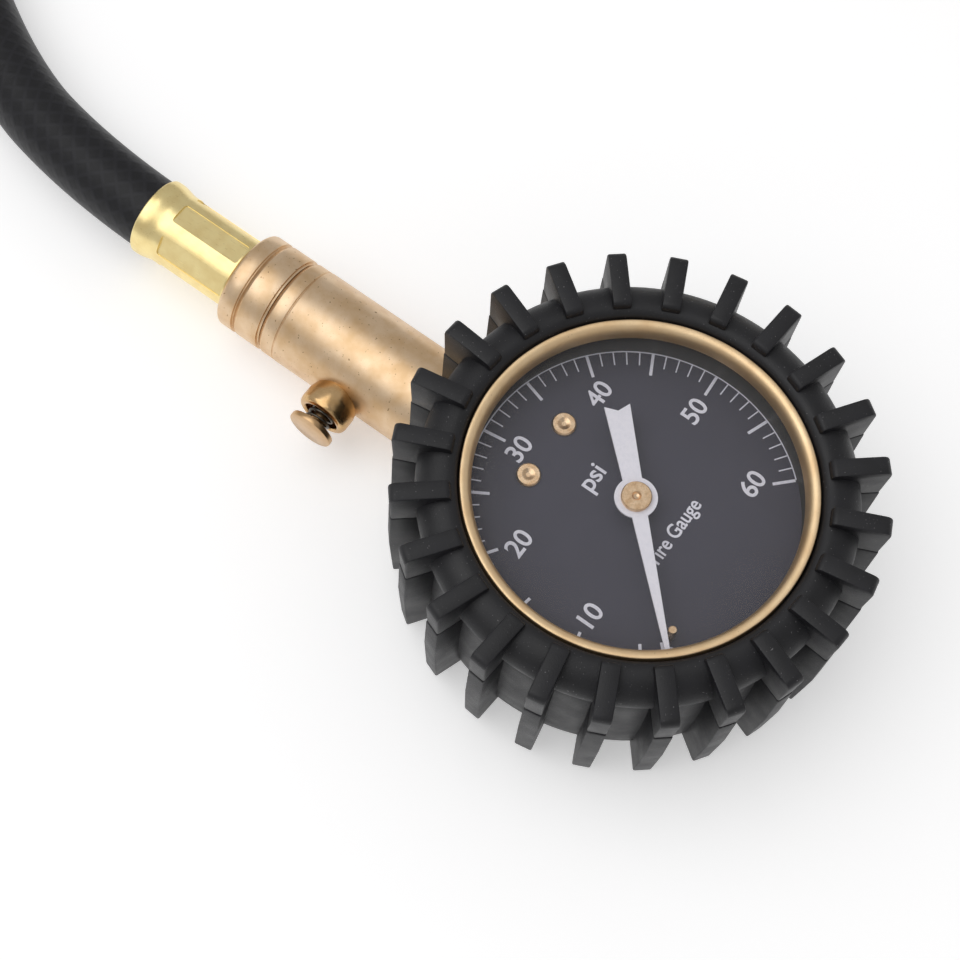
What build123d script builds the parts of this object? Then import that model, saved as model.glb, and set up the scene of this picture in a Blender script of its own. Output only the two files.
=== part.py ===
from build123d import *
import math
import os

# Tire pressure gauge, lying on its back.
# Frame: the dial's axis is +Z, the stem and the dial's 12 o'clock point along +Y,
# and the origin is on the dial's axis, on the flat back of the guard. Millimetres.

# ---- driving dimensions ----
DIAL_Z = 22.0           # top face of the dial
BEZEL_R = 26.0          # outer radius of the brass bezel ring
BEZEL_TOP = 31.0
CASE_R = 25.55          # outer radius of the drawn case
CASE_WALL = 0.35
CASE_BACK = 3.2         # underside of the case floor
CASE_RIM = 28.2

SEAM_Z = 25.4           # parting plane of the two guard halves
SEAM_GAP = 0.28
RIB_COUNT = 24
RIB_PHASE = 85.0        # azimuth of the first rib, in degrees from +X
RIB_WIDTH = 2.8
RIB_FRONT = 33.1
RIB_BACK = 2.7
RIB_R_FRONT = 36.5      # rib radius under its rounded front corner
RIB_R_SEAM = 35.8
RIB_R_BACK = 35.2
BODY_R = 31.2           # guard radius between the ribs
BACK_R = 26.5           # radius of the flat back

STEM_Z = 9.2            # height of the stem's axis over the back
STEM_R = 8.3
STEM_START = 26.4
RING_R = 8.25           # radius of the turned rings at the hose end
RING_C_START = 61.3
SWIVEL_Y = 64.1         # end face of the valve body
COLLAR_START = 64.2
COLLAR_END = 72.4
SPIGOT_R = 5.25
RUN_FIT = 0.05          # radial clearance of running fits

BLEED_Y = 48.7          # where the bleeder's axis crosses the stem
BUTTON_TRAVEL = 1.8

HOSE_R = 6.0
HOSE_BORE_R = 2.5
HOSE_ROOT_R = 5.4       # the hose where the ferrule squeezes it
HOSE_START = 88.5
CHUCK_Z = 8.5           # height of the chuck's axis over the table
FERRULE_FLATS = 6

PIVOT_DISTANCE = 14.0   # pinion to sector pivot
PIVOT_ANGLE = 170.0
GEAR_MODULE = 0.4
PINION_TEETH = 10
SECTOR_TEETH = 60       # teeth of the whole wheel that the sector is cut from
PRESSURE_ANGLE = 20.0
TUBE_R = 19.5           # mean radius of the Bourdon tube
TUBE_END_ANGLE = -150.0

PLATE_BACK_Z = 13.4
PLATE_FRONT_Z = 19.0
PLATE_T = 1.0
DIAL_T = 0.6
DIAL_R = 25.15
POINTER_Z = 25.0
POINTER_ANGLE = 225.0   # direction of the tip at rest, from +X

# The hose's route: along its middle, from the gauge's ferrule to the chuck's.
HOSE_ROUTE = [
    (0.0, HOSE_START, STEM_Z),
    (0.0, 104.0, STEM_Z),
    (6.0, 129.0, 7.0),
    (29.0, 164.0, 6.1),
    (70.0, 181.0, 6.1),
    (113.0, 172.0, 6.1),
    (142.0, 142.0, 6.4),
    (151.0, 101.0, CHUCK_Z),
    (151.0, 61.0, CHUCK_Z),
]

os.makedirs("parts", exist_ok=True)


# ---- planes and small helpers ----
def radial_plane(angle):
    """Upright plane through the dial's axis: local x is outwards, local y is up."""
    a = math.radians(angle)
    return Plane(origin=(0, 0, 0), x_dir=(math.cos(a), math.sin(a), 0), z_dir=(math.sin(a), -math.cos(a), 0))


STEM_PLANE = Plane(origin=(0, 0, STEM_Z), x_dir=(1, 0, 0), z_dir=(0, 0, 1))
STEM_AXIS = Axis((0, 0, STEM_Z), (0, 1, 0))
BLEED_PLANE = Plane(origin=(0, BLEED_Y, STEM_Z), x_dir=(0, 1, 0), z_dir=(0, 0, 1))
BLEED_AXIS = Axis((0, BLEED_Y, STEM_Z), (-1, 0, 0))
CHUCK_X = HOSE_ROUTE[-1][0]
CHUCK_Y = HOSE_ROUTE[-1][1]


def fitting_plane(x, y, z):
    """Plane at a hose end: local y runs from the hose into its fitting, towards -Y."""
    return Plane(origin=(x, y, z), x_dir=(-1, 0, 0), z_dir=(0, 0, 1))


GAUGE_END = fitting_plane(0, HOSE_START, STEM_Z)
CHUCK_END = fitting_plane(CHUCK_X, CHUCK_Y, CHUCK_Z)


def axis_of(plane):
    """The axis through a plane's origin along its local y."""
    return Axis(plane.origin, plane.y_dir)


def polar(radius, angle, centre=(0.0, 0.0)):
    """Point at a radius and an angle in degrees about a centre."""
    a = math.radians(angle)
    return (centre[0] + radius * math.cos(a), centre[1] + radius * math.sin(a))


def save(build, name):
    """Label a finished sub-part and write its STEP file."""
    build.part.label = name
    export_step(build.part, f"parts/{name}.step")


# ---- guard: two moulded rubber halves with ribs all round ----
RIB_PLANES = [radial_plane(RIB_PHASE + k * 360 / RIB_COUNT) for k in range(RIB_COUNT)]
STEM_HOLE_R = STEM_R + 0.3
FRONT_BOTTOM = SEAM_Z + SEAM_GAP / 2
BACK_TOP = SEAM_Z - SEAM_GAP / 2
CORNER_R = 1.2          # rounded front corner of a rib
LIP_TOP = 31.8
TONGUE_R = 29.0         # the back half's tongue, which meets the front half

with BuildPart() as guard_front:
    with BuildSketch(Plane.XZ):
        with BuildLine():
            Polyline((CASE_R + RUN_FIT, FRONT_BOTTOM), (CASE_R + RUN_FIT, 27.0), (BEZEL_R + 0.2, 27.0),
                     (BEZEL_R + 0.2, 30.4), (BEZEL_R + 0.5, 31.3), (27.3, LIP_TOP - 0.1), (28.1, LIP_TOP))
            Spline((28.1, LIP_TOP), (31.4, 30.15), (32.3, 28.4), (32.1, 27.5), (BODY_R, FRONT_BOTTOM),
                   tangents=((1, 0), (-0.4, -0.9)))
            Line((BODY_R, FRONT_BOTTOM), (CASE_R + RUN_FIT, FRONT_BOTTOM))
        make_face()
    revolve(axis=Axis.Z)
    with BuildSketch(*RIB_PLANES):
        with BuildLine():
            Polyline((28.0, FRONT_BOTTOM), (28.0, 31.0), (27.2, 31.5), (27.45, RIB_FRONT), (RIB_R_FRONT - CORNER_R, RIB_FRONT))
            RadiusArc((RIB_R_FRONT - CORNER_R, RIB_FRONT), (RIB_R_FRONT, RIB_FRONT - CORNER_R), CORNER_R)
            Polyline((RIB_R_FRONT, RIB_FRONT - CORNER_R), (RIB_R_SEAM, FRONT_BOTTOM), (28.0, FRONT_BOTTOM))
        make_face()
    extrude(amount=RIB_WIDTH / 2, both=True)
save(guard_front, "guard_front")

with BuildPart() as guard_back:
    with BuildSketch(Plane.XZ):
        with BuildLine():
            Polyline((0, 0), (BACK_R, 0), (30.0, 3.1), (BODY_R - 0.35, 4.2))
            ThreePointArc((BODY_R - 0.35, 4.2), (BODY_R + 0.45, 15.0), (BODY_R + 0.1, BACK_TOP))
            Polyline((BODY_R + 0.1, BACK_TOP), (TONGUE_R, BACK_TOP), (TONGUE_R, FRONT_BOTTOM),
                     (CASE_R + RUN_FIT, FRONT_BOTTOM), (CASE_R + RUN_FIT, CASE_BACK), (0, CASE_BACK), (0, 0))
        make_face()
    revolve(axis=Axis.Z)
    with BuildSketch(*RIB_PLANES):
        with BuildLine():
            Polyline((29.5, BACK_TOP), (29.5, RIB_BACK), (RIB_R_BACK, RIB_BACK))
            ThreePointArc((RIB_R_BACK, RIB_BACK), (RIB_R_SEAM + 0.15, 15.0), (RIB_R_SEAM + 0.15, BACK_TOP))
            Line((RIB_R_SEAM + 0.15, BACK_TOP), (29.5, BACK_TOP))
        make_face()
    extrude(amount=RIB_WIDTH / 2, both=True)
    with BuildSketch(Plane.XZ.offset(-20)):
        with Locations((0, STEM_Z)):
            Circle(STEM_HOLE_R)
    extrude(amount=-20, mode=Mode.SUBTRACT)
save(guard_back, "guard_back")

# ---- case, bezel and window ----
CASE_BORE_R = CASE_R - CASE_WALL
NECK_R = 5.0
CASE_SCREW_SPOTS = [(-4.5, 18.5), (4.5, 18.5)]

with BuildPart() as case:
    with BuildSketch(Plane.XY.offset(CASE_BACK)):
        Circle(CASE_R)
    extrude(amount=CASE_RIM - CASE_BACK)
    fillet(case.edges().group_by(Axis.Z)[0], 1.0)
    with BuildSketch(Plane.XY.offset(CASE_BACK + 0.8)):
        Circle(CASE_BORE_R)
    extrude(amount=CASE_RIM, mode=Mode.SUBTRACT)
    with BuildSketch(Plane.XZ.offset(-20)):
        with Locations((0, STEM_Z)):
            Circle(NECK_R + 0.2)
    extrude(amount=-10, mode=Mode.SUBTRACT)
    with BuildSketch(Plane.XY.offset(CASE_BACK)):
        with Locations(CASE_SCREW_SPOTS):
            Circle(1.0)
    extrude(amount=2, mode=Mode.SUBTRACT)
save(case, "case")

WINDOW_Z = 26.9
FACE_Z = 28.2           # underside of the bezel's face
BEZEL_BORE_R = 24.2
WINDOW_R = CASE_BORE_R - 0.05

with BuildPart() as bezel_ring:
    with BuildSketch(Plane.XZ):
        with BuildLine():
            Polyline((CASE_R + RUN_FIT, 27.2), (BEZEL_R, 27.2), (BEZEL_R, BEZEL_TOP - 0.25), (BEZEL_R - 0.25, BEZEL_TOP),
                     (BEZEL_BORE_R + 0.8, BEZEL_TOP), (BEZEL_BORE_R, FACE_Z + 0.3), (BEZEL_BORE_R, FACE_Z),
                     (CASE_R + RUN_FIT, FACE_Z), close=True)
        make_face()
    revolve(axis=Axis.Z)
save(bezel_ring, "bezel_ring")

with BuildPart() as window:
    with BuildSketch(Plane.XY.offset(WINDOW_Z)):
        Circle(WINDOW_R)
    extrude(amount=FACE_Z - WINDOW_Z)
save(window, "window")

with BuildPart() as window_gasket:
    with BuildSketch(Plane.XY.offset(DIAL_Z)):
        Circle(WINDOW_R)
        Circle(WINDOW_R - 0.2, mode=Mode.SUBTRACT)
    extrude(amount=WINDOW_Z - DIAL_Z)
save(window_gasket, "window_gasket")

# ---- dial, its screws and posts, and the zero stop ----
DIAL_SCREW_SPOTS = [(-5.4, 15.1), (4.4, 15.5)]
STOP_SPOT = polar(20.6, 90 + 138.6)
STOP_R = 0.65

with BuildPart() as dial_plate:
    with BuildSketch(Plane.XY.offset(DIAL_Z - DIAL_T)):
        Circle(DIAL_R)
        Circle(1.4, mode=Mode.SUBTRACT)
        with Locations(DIAL_SCREW_SPOTS):
            Circle(0.75, mode=Mode.SUBTRACT)
        with Locations(STOP_SPOT):
            Circle(STOP_R, mode=Mode.SUBTRACT)
    extrude(amount=DIAL_T)
save(dial_plate, "dial_plate")

with BuildPart() as dial_screws:
    with Locations([(x, y, DIAL_Z) for x, y in DIAL_SCREW_SPOTS]):
        Cylinder(1.85, 0.6, align=(Align.CENTER, Align.CENTER, Align.MIN))
    chamfer(dial_screws.edges().group_by(Axis.Z)[-1], 0.2)
    with Locations([(x, y, DIAL_Z + 0.35) for x, y in DIAL_SCREW_SPOTS]):
        Cone(0.35, 1.1, 0.3, align=(Align.CENTER, Align.CENTER, Align.MIN), mode=Mode.SUBTRACT)
    with Locations([(x, y, DIAL_Z) for x, y in DIAL_SCREW_SPOTS]):
        Cylinder(0.7, 1.9, align=(Align.CENTER, Align.CENTER, Align.MAX))
save(dial_screws, "dial_screws")

with BuildPart() as dial_posts:
    with BuildSketch(Plane.XY.offset(PLATE_FRONT_Z + PLATE_T)):
        with Locations(DIAL_SCREW_SPOTS):
            Circle(1.5)
            Circle(0.72, mode=Mode.SUBTRACT)
    extrude(amount=DIAL_Z - DIAL_T - PLATE_FRONT_Z - PLATE_T)
save(dial_posts, "dial_posts")

with BuildPart() as stop_pin:
    with Locations((*STOP_SPOT, DIAL_Z - DIAL_T)):
        Cylinder(STOP_R, 4.2, align=(Align.CENTER, Align.CENTER, Align.MIN))
    chamfer(stop_pin.edges().group_by(Axis.Z)[-1], 0.12)
save(stop_pin, "stop_pin")

# ---- pointer and its boss ----
POINTER_T = 0.35
POINTER_PLANE = Plane(origin=(0, 0, POINTER_Z), x_dir=(*polar(1, POINTER_ANGLE), 0), z_dir=(0, 0, 1))
BOSS_BORE_R = 1.2

with BuildPart() as pointer:
    with BuildSketch(POINTER_PLANE):
        with BuildLine():
            Polyline((0, 1.28), (23.3, 0.36), (23.5, 0.0), (23.3, -0.36), (0, -1.28), close=True)
        make_face()
        with BuildLine():
            Polyline((0, 1.3), (-14.7, 1.95), (-13.85, 0.0), (-14.7, -1.95), (0, -1.3), close=True)
        make_face()
        Circle(3.2)
        Circle(BOSS_BORE_R, mode=Mode.SUBTRACT)
    extrude(amount=POINTER_T)
save(pointer, "pointer")

ARBOR_TIP_R = 0.6
HUB_TOP = POINTER_Z + POINTER_T + 0.75

with BuildPart() as pointer_hub:
    with BuildSketch(Plane.XZ):
        with BuildLine():
            Polyline((ARBOR_TIP_R, 23.4), (BOSS_BORE_R, 23.4), (BOSS_BORE_R, POINTER_Z + POINTER_T),
                     (2.27, POINTER_Z + POINTER_T), (2.27, HUB_TOP - 0.12), (2.15, HUB_TOP), (0.7, HUB_TOP),
                     (0.45, HUB_TOP - 0.3), (0, HUB_TOP - 0.38), (0, 25.25), (ARBOR_TIP_R, 25.25), close=True)
        make_face()
    revolve(axis=Axis.Z)
save(pointer_hub, "pointer_hub")

# ---- movement: plates, pillars and screws ----
PIVOT = polar(PIVOT_DISTANCE, PIVOT_ANGLE)
THIRD_PILLAR = (2.0, -9.0)
PILLAR_SPOTS = DIAL_SCREW_SPOTS + [THIRD_PILLAR]
MOVEMENT_SCREW_SPOTS = [(-2.2, 17.3), (2.2, 17.3)]
RIVET_R = 0.7
PIVOT_R = 0.5
ARBOR_R = 0.8


def movement_plate(z, centre_hole_r):
    """Brass plate over the pillars, with a hole for each shaft."""
    with BuildPart() as plate:
        with BuildSketch(Plane.XY.offset(z)):
            Circle(4.0)
            with Locations(PIVOT):
                Circle(2.6)
            with Locations(PILLAR_SPOTS):
                Circle(2.4)
            with Locations(MOVEMENT_SCREW_SPOTS):
                Circle(1.9)
            make_hull()
            Circle(centre_hole_r, mode=Mode.SUBTRACT)
            with Locations(PIVOT):
                Circle(PIVOT_R + RUN_FIT, mode=Mode.SUBTRACT)
            with Locations(PILLAR_SPOTS):
                Circle(RIVET_R, mode=Mode.SUBTRACT)
            with Locations(MOVEMENT_SCREW_SPOTS):
                Circle(0.8, mode=Mode.SUBTRACT)
        extrude(amount=PLATE_T)
    return plate


movement_back_plate = movement_plate(PLATE_BACK_Z, PIVOT_R + RUN_FIT)
save(movement_back_plate, "movement_back_plate")
movement_front_plate = movement_plate(PLATE_FRONT_Z, ARBOR_R + RUN_FIT)
save(movement_front_plate, "movement_front_plate")

PILLAR_BOTTOM = PLATE_BACK_Z + PLATE_T

with BuildPart() as movement_pillars:
    with Locations([(x, y, PLATE_BACK_Z) for x, y in PILLAR_SPOTS]):
        Cylinder(RIVET_R, PLATE_FRONT_Z + PLATE_T - PLATE_BACK_Z, align=(Align.CENTER, Align.CENTER, Align.MIN))
    with Locations([(x, y, PILLAR_BOTTOM) for x, y in PILLAR_SPOTS]):
        Cylinder(1.2, PLATE_FRONT_Z - PILLAR_BOTTOM, align=(Align.CENTER, Align.CENTER, Align.MIN))
save(movement_pillars, "movement_pillars")

with BuildPart() as movement_screws:
    with Locations([(x, y, PILLAR_BOTTOM) for x, y in MOVEMENT_SCREW_SPOTS]):
        Cylinder(1.4, 0.8, align=(Align.CENTER, Align.CENTER, Align.MIN))
        Cylinder(0.75, 4.5, align=(Align.CENTER, Align.CENTER, Align.MAX))
    with Locations([(x, y, PILLAR_BOTTOM + 0.45) for x, y in MOVEMENT_SCREW_SPOTS]):
        Box(3.2, 0.4, 0.5, align=(Align.CENTER, Align.CENTER, Align.MIN), mode=Mode.SUBTRACT)
save(movement_screws, "movement_screws")

# ---- gears: involute teeth on the pinion and on the sector ----
GEAR_Z = 15.8
GEAR_T = 1.1
BACKLASH = 0.05


def involute(angle):
    """The involute function of an angle in radians."""
    return math.tan(angle) - angle


def tooth_points(teeth, addendum, dedendum, centre, direction):
    """Outline of one tooth from root to root, round the direction in degrees."""
    pitch_r = GEAR_MODULE * teeth / 2
    alpha = math.radians(PRESSURE_ANGLE)
    base_r = pitch_r * math.cos(alpha)
    tip_r = pitch_r + addendum * GEAR_MODULE
    root_r = pitch_r - dedendum * GEAR_MODULE
    half = math.pi / (2 * teeth) - BACKLASH / (2 * pitch_r) + involute(alpha)
    start_r = max(base_r, root_r)
    flank = []
    for step in range(5):
        r = start_r + (tip_r - start_r) * step / 4
        flank.append((r, half - involute(math.acos(min(1.0, base_r / r)))))
    if root_r < start_r:
        flank.insert(0, (root_r, flank[0][1]))
    right = [polar(r, direction - math.degrees(a), centre) for r, a in flank]
    left = [polar(r, direction + math.degrees(a), centre) for r, a in reversed(flank)]
    return right + left


PINION_PITCH = 360 / PINION_TEETH
SECTOR_PITCH = 360 / SECTOR_TEETH
MESH_ANGLE = PIVOT_ANGLE - 180      # from the sector's pivot to the pinion
FIRST_TOOTH = -9
LAST_TOOTH = 1
PINION_TIP = 1.0
PINION_ROOT = 1.2
SECTOR_TIP = 0.75
SECTOR_ROOT = 1.3

with BuildPart() as pinion_arbor:
    with BuildSketch(Plane.XZ):
        with BuildLine():
            Polyline((0, PLATE_BACK_Z), (PIVOT_R, PLATE_BACK_Z), (PIVOT_R, PILLAR_BOTTOM + 0.1),
                     (ARBOR_R, PILLAR_BOTTOM + 0.1), (ARBOR_R, 23.3), (ARBOR_TIP_R, 23.3), (ARBOR_TIP_R, 25.2),
                     (0, 25.2), close=True)
        make_face()
    revolve(axis=Axis.Z)
    with BuildSketch(Plane.XY.offset(GEAR_Z - 0.4)):
        with BuildLine():
            outline = []
            for k in range(PINION_TEETH):
                tooth_at = PIVOT_ANGLE + PINION_PITCH * (k + 0.5)
                outline += tooth_points(PINION_TEETH, PINION_TIP, PINION_ROOT, (0, 0), tooth_at)
            Polyline(*outline, close=True)
        make_face()
    extrude(amount=GEAR_T + 0.8)
save(pinion_arbor, "pinion_arbor")

TAIL_ANGLE = 157.5      # from the pivot to the link's pin, at rest
TAIL_R = 3.6
TAIL_END = polar(TAIL_R, TAIL_ANGLE, PIVOT)
PIN_R = 0.5
SECTOR_ARBOR_R = 0.9
SECTOR_ROOT_R = GEAR_MODULE * SECTOR_TEETH / 2 - SECTOR_ROOT * GEAR_MODULE
SECTOR_RIM = 2.0
FIRST_ANGLE = MESH_ANGLE + SECTOR_PITCH * (FIRST_TOOTH - 0.5)
LAST_ANGLE = MESH_ANGLE + SECTOR_PITCH * (LAST_TOOTH + 0.5)
ARM_HALF = 1.3

with BuildPart() as sector_gear:
    with BuildSketch(Plane.XY.offset(GEAR_Z)):
        with BuildLine():
            outline = []
            for k in range(FIRST_TOOTH, LAST_TOOTH + 1):
                tooth_at = MESH_ANGLE + SECTOR_PITCH * k
                outline += tooth_points(SECTOR_TEETH, SECTOR_TIP, SECTOR_ROOT, PIVOT, tooth_at)
            first_rim = polar(SECTOR_ROOT_R - SECTOR_RIM, FIRST_ANGLE, PIVOT)
            last_rim = polar(SECTOR_ROOT_R - SECTOR_RIM, LAST_ANGLE, PIVOT)
            mid_rim = polar(SECTOR_ROOT_R - SECTOR_RIM, (FIRST_ANGLE + LAST_ANGLE) / 2, PIVOT)
            Polyline(polar(SECTOR_ROOT_R, FIRST_ANGLE, PIVOT), *outline, polar(SECTOR_ROOT_R, LAST_ANGLE, PIVOT))
            Line(polar(SECTOR_ROOT_R, LAST_ANGLE, PIVOT), last_rim)
            ThreePointArc(last_rim, mid_rim, first_rim)
            Line(first_rim, polar(SECTOR_ROOT_R, FIRST_ANGLE, PIVOT))
        make_face()
        for arm_at in (FIRST_ANGLE + 6, LAST_ANGLE - 6):
            with BuildLine():
                Polyline(polar(ARM_HALF, arm_at + 90, PIVOT), polar(ARM_HALF, arm_at - 90, PIVOT),
                         polar(SECTOR_ROOT_R - 1, arm_at - 4, PIVOT), polar(SECTOR_ROOT_R - 1, arm_at + 4, PIVOT),
                         close=True)
            make_face()
        with Locations(PIVOT):
            Circle(2.2)
        with BuildLine():
            Polyline(polar(1.1, TAIL_ANGLE - 90, PIVOT), polar(1.1, TAIL_ANGLE + 90, PIVOT),
                     polar(1.1, TAIL_ANGLE + 90, TAIL_END), polar(1.1, TAIL_ANGLE - 90, TAIL_END), close=True)
        make_face()
        with Locations(TAIL_END):
            Circle(1.1)
        with Locations(PIVOT):
            Circle(SECTOR_ARBOR_R, mode=Mode.SUBTRACT)
        with Locations(TAIL_END):
            Circle(PIN_R, mode=Mode.SUBTRACT)
    extrude(amount=GEAR_T)
save(sector_gear, "sector_gear")

with BuildPart() as sector_arbor:
    with Locations((*PIVOT, PLATE_BACK_Z)):
        Cylinder(PIVOT_R, PLATE_FRONT_Z + PLATE_T - PLATE_BACK_Z, align=(Align.CENTER, Align.CENTER, Align.MIN))
    with Locations((*PIVOT, PILLAR_BOTTOM + 0.1)):
        Cylinder(SECTOR_ARBOR_R, PLATE_FRONT_Z - PILLAR_BOTTOM - 0.2, align=(Align.CENTER, Align.CENTER, Align.MIN))
save(sector_arbor, "sector_arbor")

HAIRSPRING_Z = 17.9
SPIRAL_START = 1.4
SPIRAL_END = 4.4
SPIRAL_TURNS = 4
SPIRAL_POINTS = 48
STUD_SPOT = polar(SPIRAL_END, -60)

with BuildPart() as hairspring:
    with BuildSketch(Plane.XY.offset(HAIRSPRING_Z)):
        with BuildLine() as spiral:
            Spline(*[polar(SPIRAL_START + (SPIRAL_END - SPIRAL_START) * k / SPIRAL_POINTS,
                           -60 + SPIRAL_TURNS * 360 * k / SPIRAL_POINTS) for k in range(SPIRAL_POINTS + 1)])
        trace(line_width=0.18)
    extrude(amount=0.5)
    with Locations((*STUD_SPOT, HAIRSPRING_Z - 0.2)):
        Cylinder(0.5, PLATE_FRONT_Z - HAIRSPRING_Z + 0.2, align=(Align.CENTER, Align.CENTER, Align.MIN))
save(hairspring, "hairspring")

# ---- link between the tube's tip and the sector's tail ----
LINK_Z = 15.0
LINK_T = 0.6
LINK_STROKE = 2.9
TUBE_PIN = (TAIL_END[0] - 0.1, -10.5)

with BuildPart() as link:
    with BuildSketch(Plane.XY.offset(LINK_Z)):
        with Locations(TAIL_END):
            Circle(1.1)
        with Locations((TAIL_END[0], TUBE_PIN[1] + LINK_STROKE / 2)):
            SlotOverall(LINK_STROKE + 3.0, 3.0, rotation=90)
        with Locations((TAIL_END[0], (TAIL_END[1] + TUBE_PIN[1]) / 2)):
            Rectangle(1.3, TAIL_END[1] - TUBE_PIN[1])
        with Locations(TAIL_END):
            Circle(PIN_R + RUN_FIT, mode=Mode.SUBTRACT)
        with Locations((TAIL_END[0], TUBE_PIN[1] + LINK_STROKE / 2)):
            SlotOverall(LINK_STROKE + 1.9, 1.9, rotation=90, mode=Mode.SUBTRACT)
    extrude(amount=LINK_T)
save(link, "link")

with BuildPart() as link_pin_sector:
    with Locations((*TAIL_END, LINK_Z - 0.4)):
        Cylinder(PIN_R, GEAR_Z + GEAR_T - LINK_Z + 0.6, align=(Align.CENTER, Align.CENTER, Align.MIN))
        Cylinder(0.8, 0.3, align=(Align.CENTER, Align.CENTER, Align.MIN))
save(link_pin_sector, "link_pin_sector")

# ---- Bourdon tube, its end cap and the socket block ----
TUBE_T = 2.2
TUBE_BOTTOM = 5.7
TUBE_H = 7.0
TUBE_WALL = 0.35
TUBE_START_ANGLE = 72.0
CAP_REACH = 4.0         # half width of the cap along the tube, in degrees


def ring_sector(inner_r, outer_r, start, end):
    """Closed outline of part of a ring between two angles in degrees."""
    middle = (start + end) / 2
    with BuildLine() as outline:
        ThreePointArc(polar(outer_r, start), polar(outer_r, middle), polar(outer_r, end))
        Line(polar(outer_r, end), polar(inner_r, end))
        ThreePointArc(polar(inner_r, end), polar(inner_r, middle), polar(inner_r, start))
        Line(polar(inner_r, start), polar(outer_r, start))
    return outline.line


TUBE_OUT = TUBE_R + TUBE_T / 2
TUBE_IN = TUBE_R - TUBE_T / 2

with BuildPart() as bourdon_tube:
    with BuildSketch(Plane.XY.offset(TUBE_BOTTOM)):
        with BuildLine():
            add(ring_sector(TUBE_IN, TUBE_OUT, TUBE_START_ANGLE, TUBE_END_ANGLE))
        make_face()
    extrude(amount=TUBE_H)
    fillet(bourdon_tube.edges().filter_by(GeomType.CIRCLE), 1.0)
    with BuildSketch(Plane.XY.offset(TUBE_BOTTOM + 0.9)):
        with BuildLine():
            add(ring_sector(TUBE_IN + TUBE_WALL, TUBE_OUT - TUBE_WALL, TUBE_START_ANGLE + 1, TUBE_END_ANGLE - 1))
        make_face()
    extrude(amount=TUBE_H - 1.8, mode=Mode.SUBTRACT)
save(bourdon_tube, "bourdon_tube")

with BuildPart() as tube_end_cap:
    with BuildSketch(Plane.XY.offset(TUBE_BOTTOM - 0.4)):
        with BuildLine():
            add(ring_sector(TUBE_IN - 0.5, TUBE_OUT + 0.5, TUBE_END_ANGLE, TUBE_END_ANGLE - 2 * CAP_REACH))
        make_face()
    extrude(amount=TUBE_H + 0.8)
    with BuildSketch(Plane.XY.offset(TUBE_BOTTOM + TUBE_H + 0.4)):
        with BuildLine():
            add(ring_sector(TUBE_IN - 0.5, TUBE_OUT + 0.5, TUBE_END_ANGLE + 6, TUBE_END_ANGLE - 2 * CAP_REACH))
        make_face()
    extrude(amount=0.6)
save(tube_end_cap, "tube_end_cap")

CAP_TOP = TUBE_BOTTOM + TUBE_H + 1.0

with BuildPart() as link_pin_tube:
    with Locations((*TUBE_PIN, CAP_TOP)):
        Cylinder(PIN_R, LINK_Z + LINK_T - CAP_TOP + 0.5, align=(Align.CENTER, Align.CENTER, Align.MIN))
save(link_pin_tube, "link_pin_tube")

NECK_END = 33.9
BLOCK_BOTTOM = CASE_BACK + 0.8

with BuildPart() as socket_block:
    with BuildSketch(Plane.XY.offset(BLOCK_BOTTOM)):
        with Locations((0, 17.6)):
            Rectangle(15.0, 9.6)
    extrude(amount=PLATE_BACK_Z - BLOCK_BOTTOM)
    fillet(socket_block.edges().filter_by(Axis.Z), 1.0)
    with BuildSketch(Plane.XZ.offset(-22.4)):
        with Locations((0, STEM_Z)):
            Circle(NECK_R)
    extrude(amount=-(NECK_END - 22.4))
    with BuildSketch(Plane.XZ.offset(-18.5)):
        with Locations((0, STEM_Z)):
            Circle(1.0)
    extrude(amount=-20, mode=Mode.SUBTRACT)
    with BuildSketch(Plane.YZ):
        with Locations((18.6, STEM_Z)):
            Circle(0.9)
    extrude(amount=8, mode=Mode.SUBTRACT)
    with BuildSketch(Plane.XY.offset(TUBE_BOTTOM)):
        with BuildLine():
            add(ring_sector(TUBE_IN, TUBE_OUT, TUBE_START_ANGLE, 50))
        make_face()
    extrude(amount=TUBE_H, mode=Mode.SUBTRACT)
    with BuildSketch(Plane.XY.offset(PLATE_BACK_Z - 3.6)):
        with Locations(MOVEMENT_SCREW_SPOTS):
            Circle(0.75)
    extrude(amount=4, mode=Mode.SUBTRACT)
    with BuildSketch(Plane.XY.offset(BLOCK_BOTTOM)):
        with Locations(CASE_SCREW_SPOTS):
            Circle(0.9)
    extrude(amount=1.5, mode=Mode.SUBTRACT)
save(socket_block, "socket_block")

with BuildPart() as case_screws:
    with Locations([(x, y, CASE_BACK) for x, y in CASE_SCREW_SPOTS]):
        Cylinder(0.9, 2.2, align=(Align.CENTER, Align.CENTER, Align.MIN))
save(case_screws, "case_screws")


# ---- turned parts on the stem's axis ----
def turned(points, plane, axis):
    """Solid of revolution from an outline of (radius, distance along the axis)."""
    with BuildPart() as piece:
        with BuildSketch(plane):
            with BuildLine():
                Polyline(*points, close=True)
            make_face()
        revolve(axis=axis)
    return piece


THREAD_R = NECK_R + 0.05
PASSAGE_R = 1.4
POCKET_R = 3.2          # pocket of the hold valve
POCKET_START = 51.6
SEAT_BORE = 57.0        # start of the swivel's bore
BORE_R = SPIGOT_R + RUN_FIT
CLIP_Y = 63.0
SPOT_FACE = 7.0         # flat where the bleeder's cup seats, from the stem's axis
BLEED_THREAD_R = 3.3
BLEED_POCKET_R = 2.6

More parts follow.
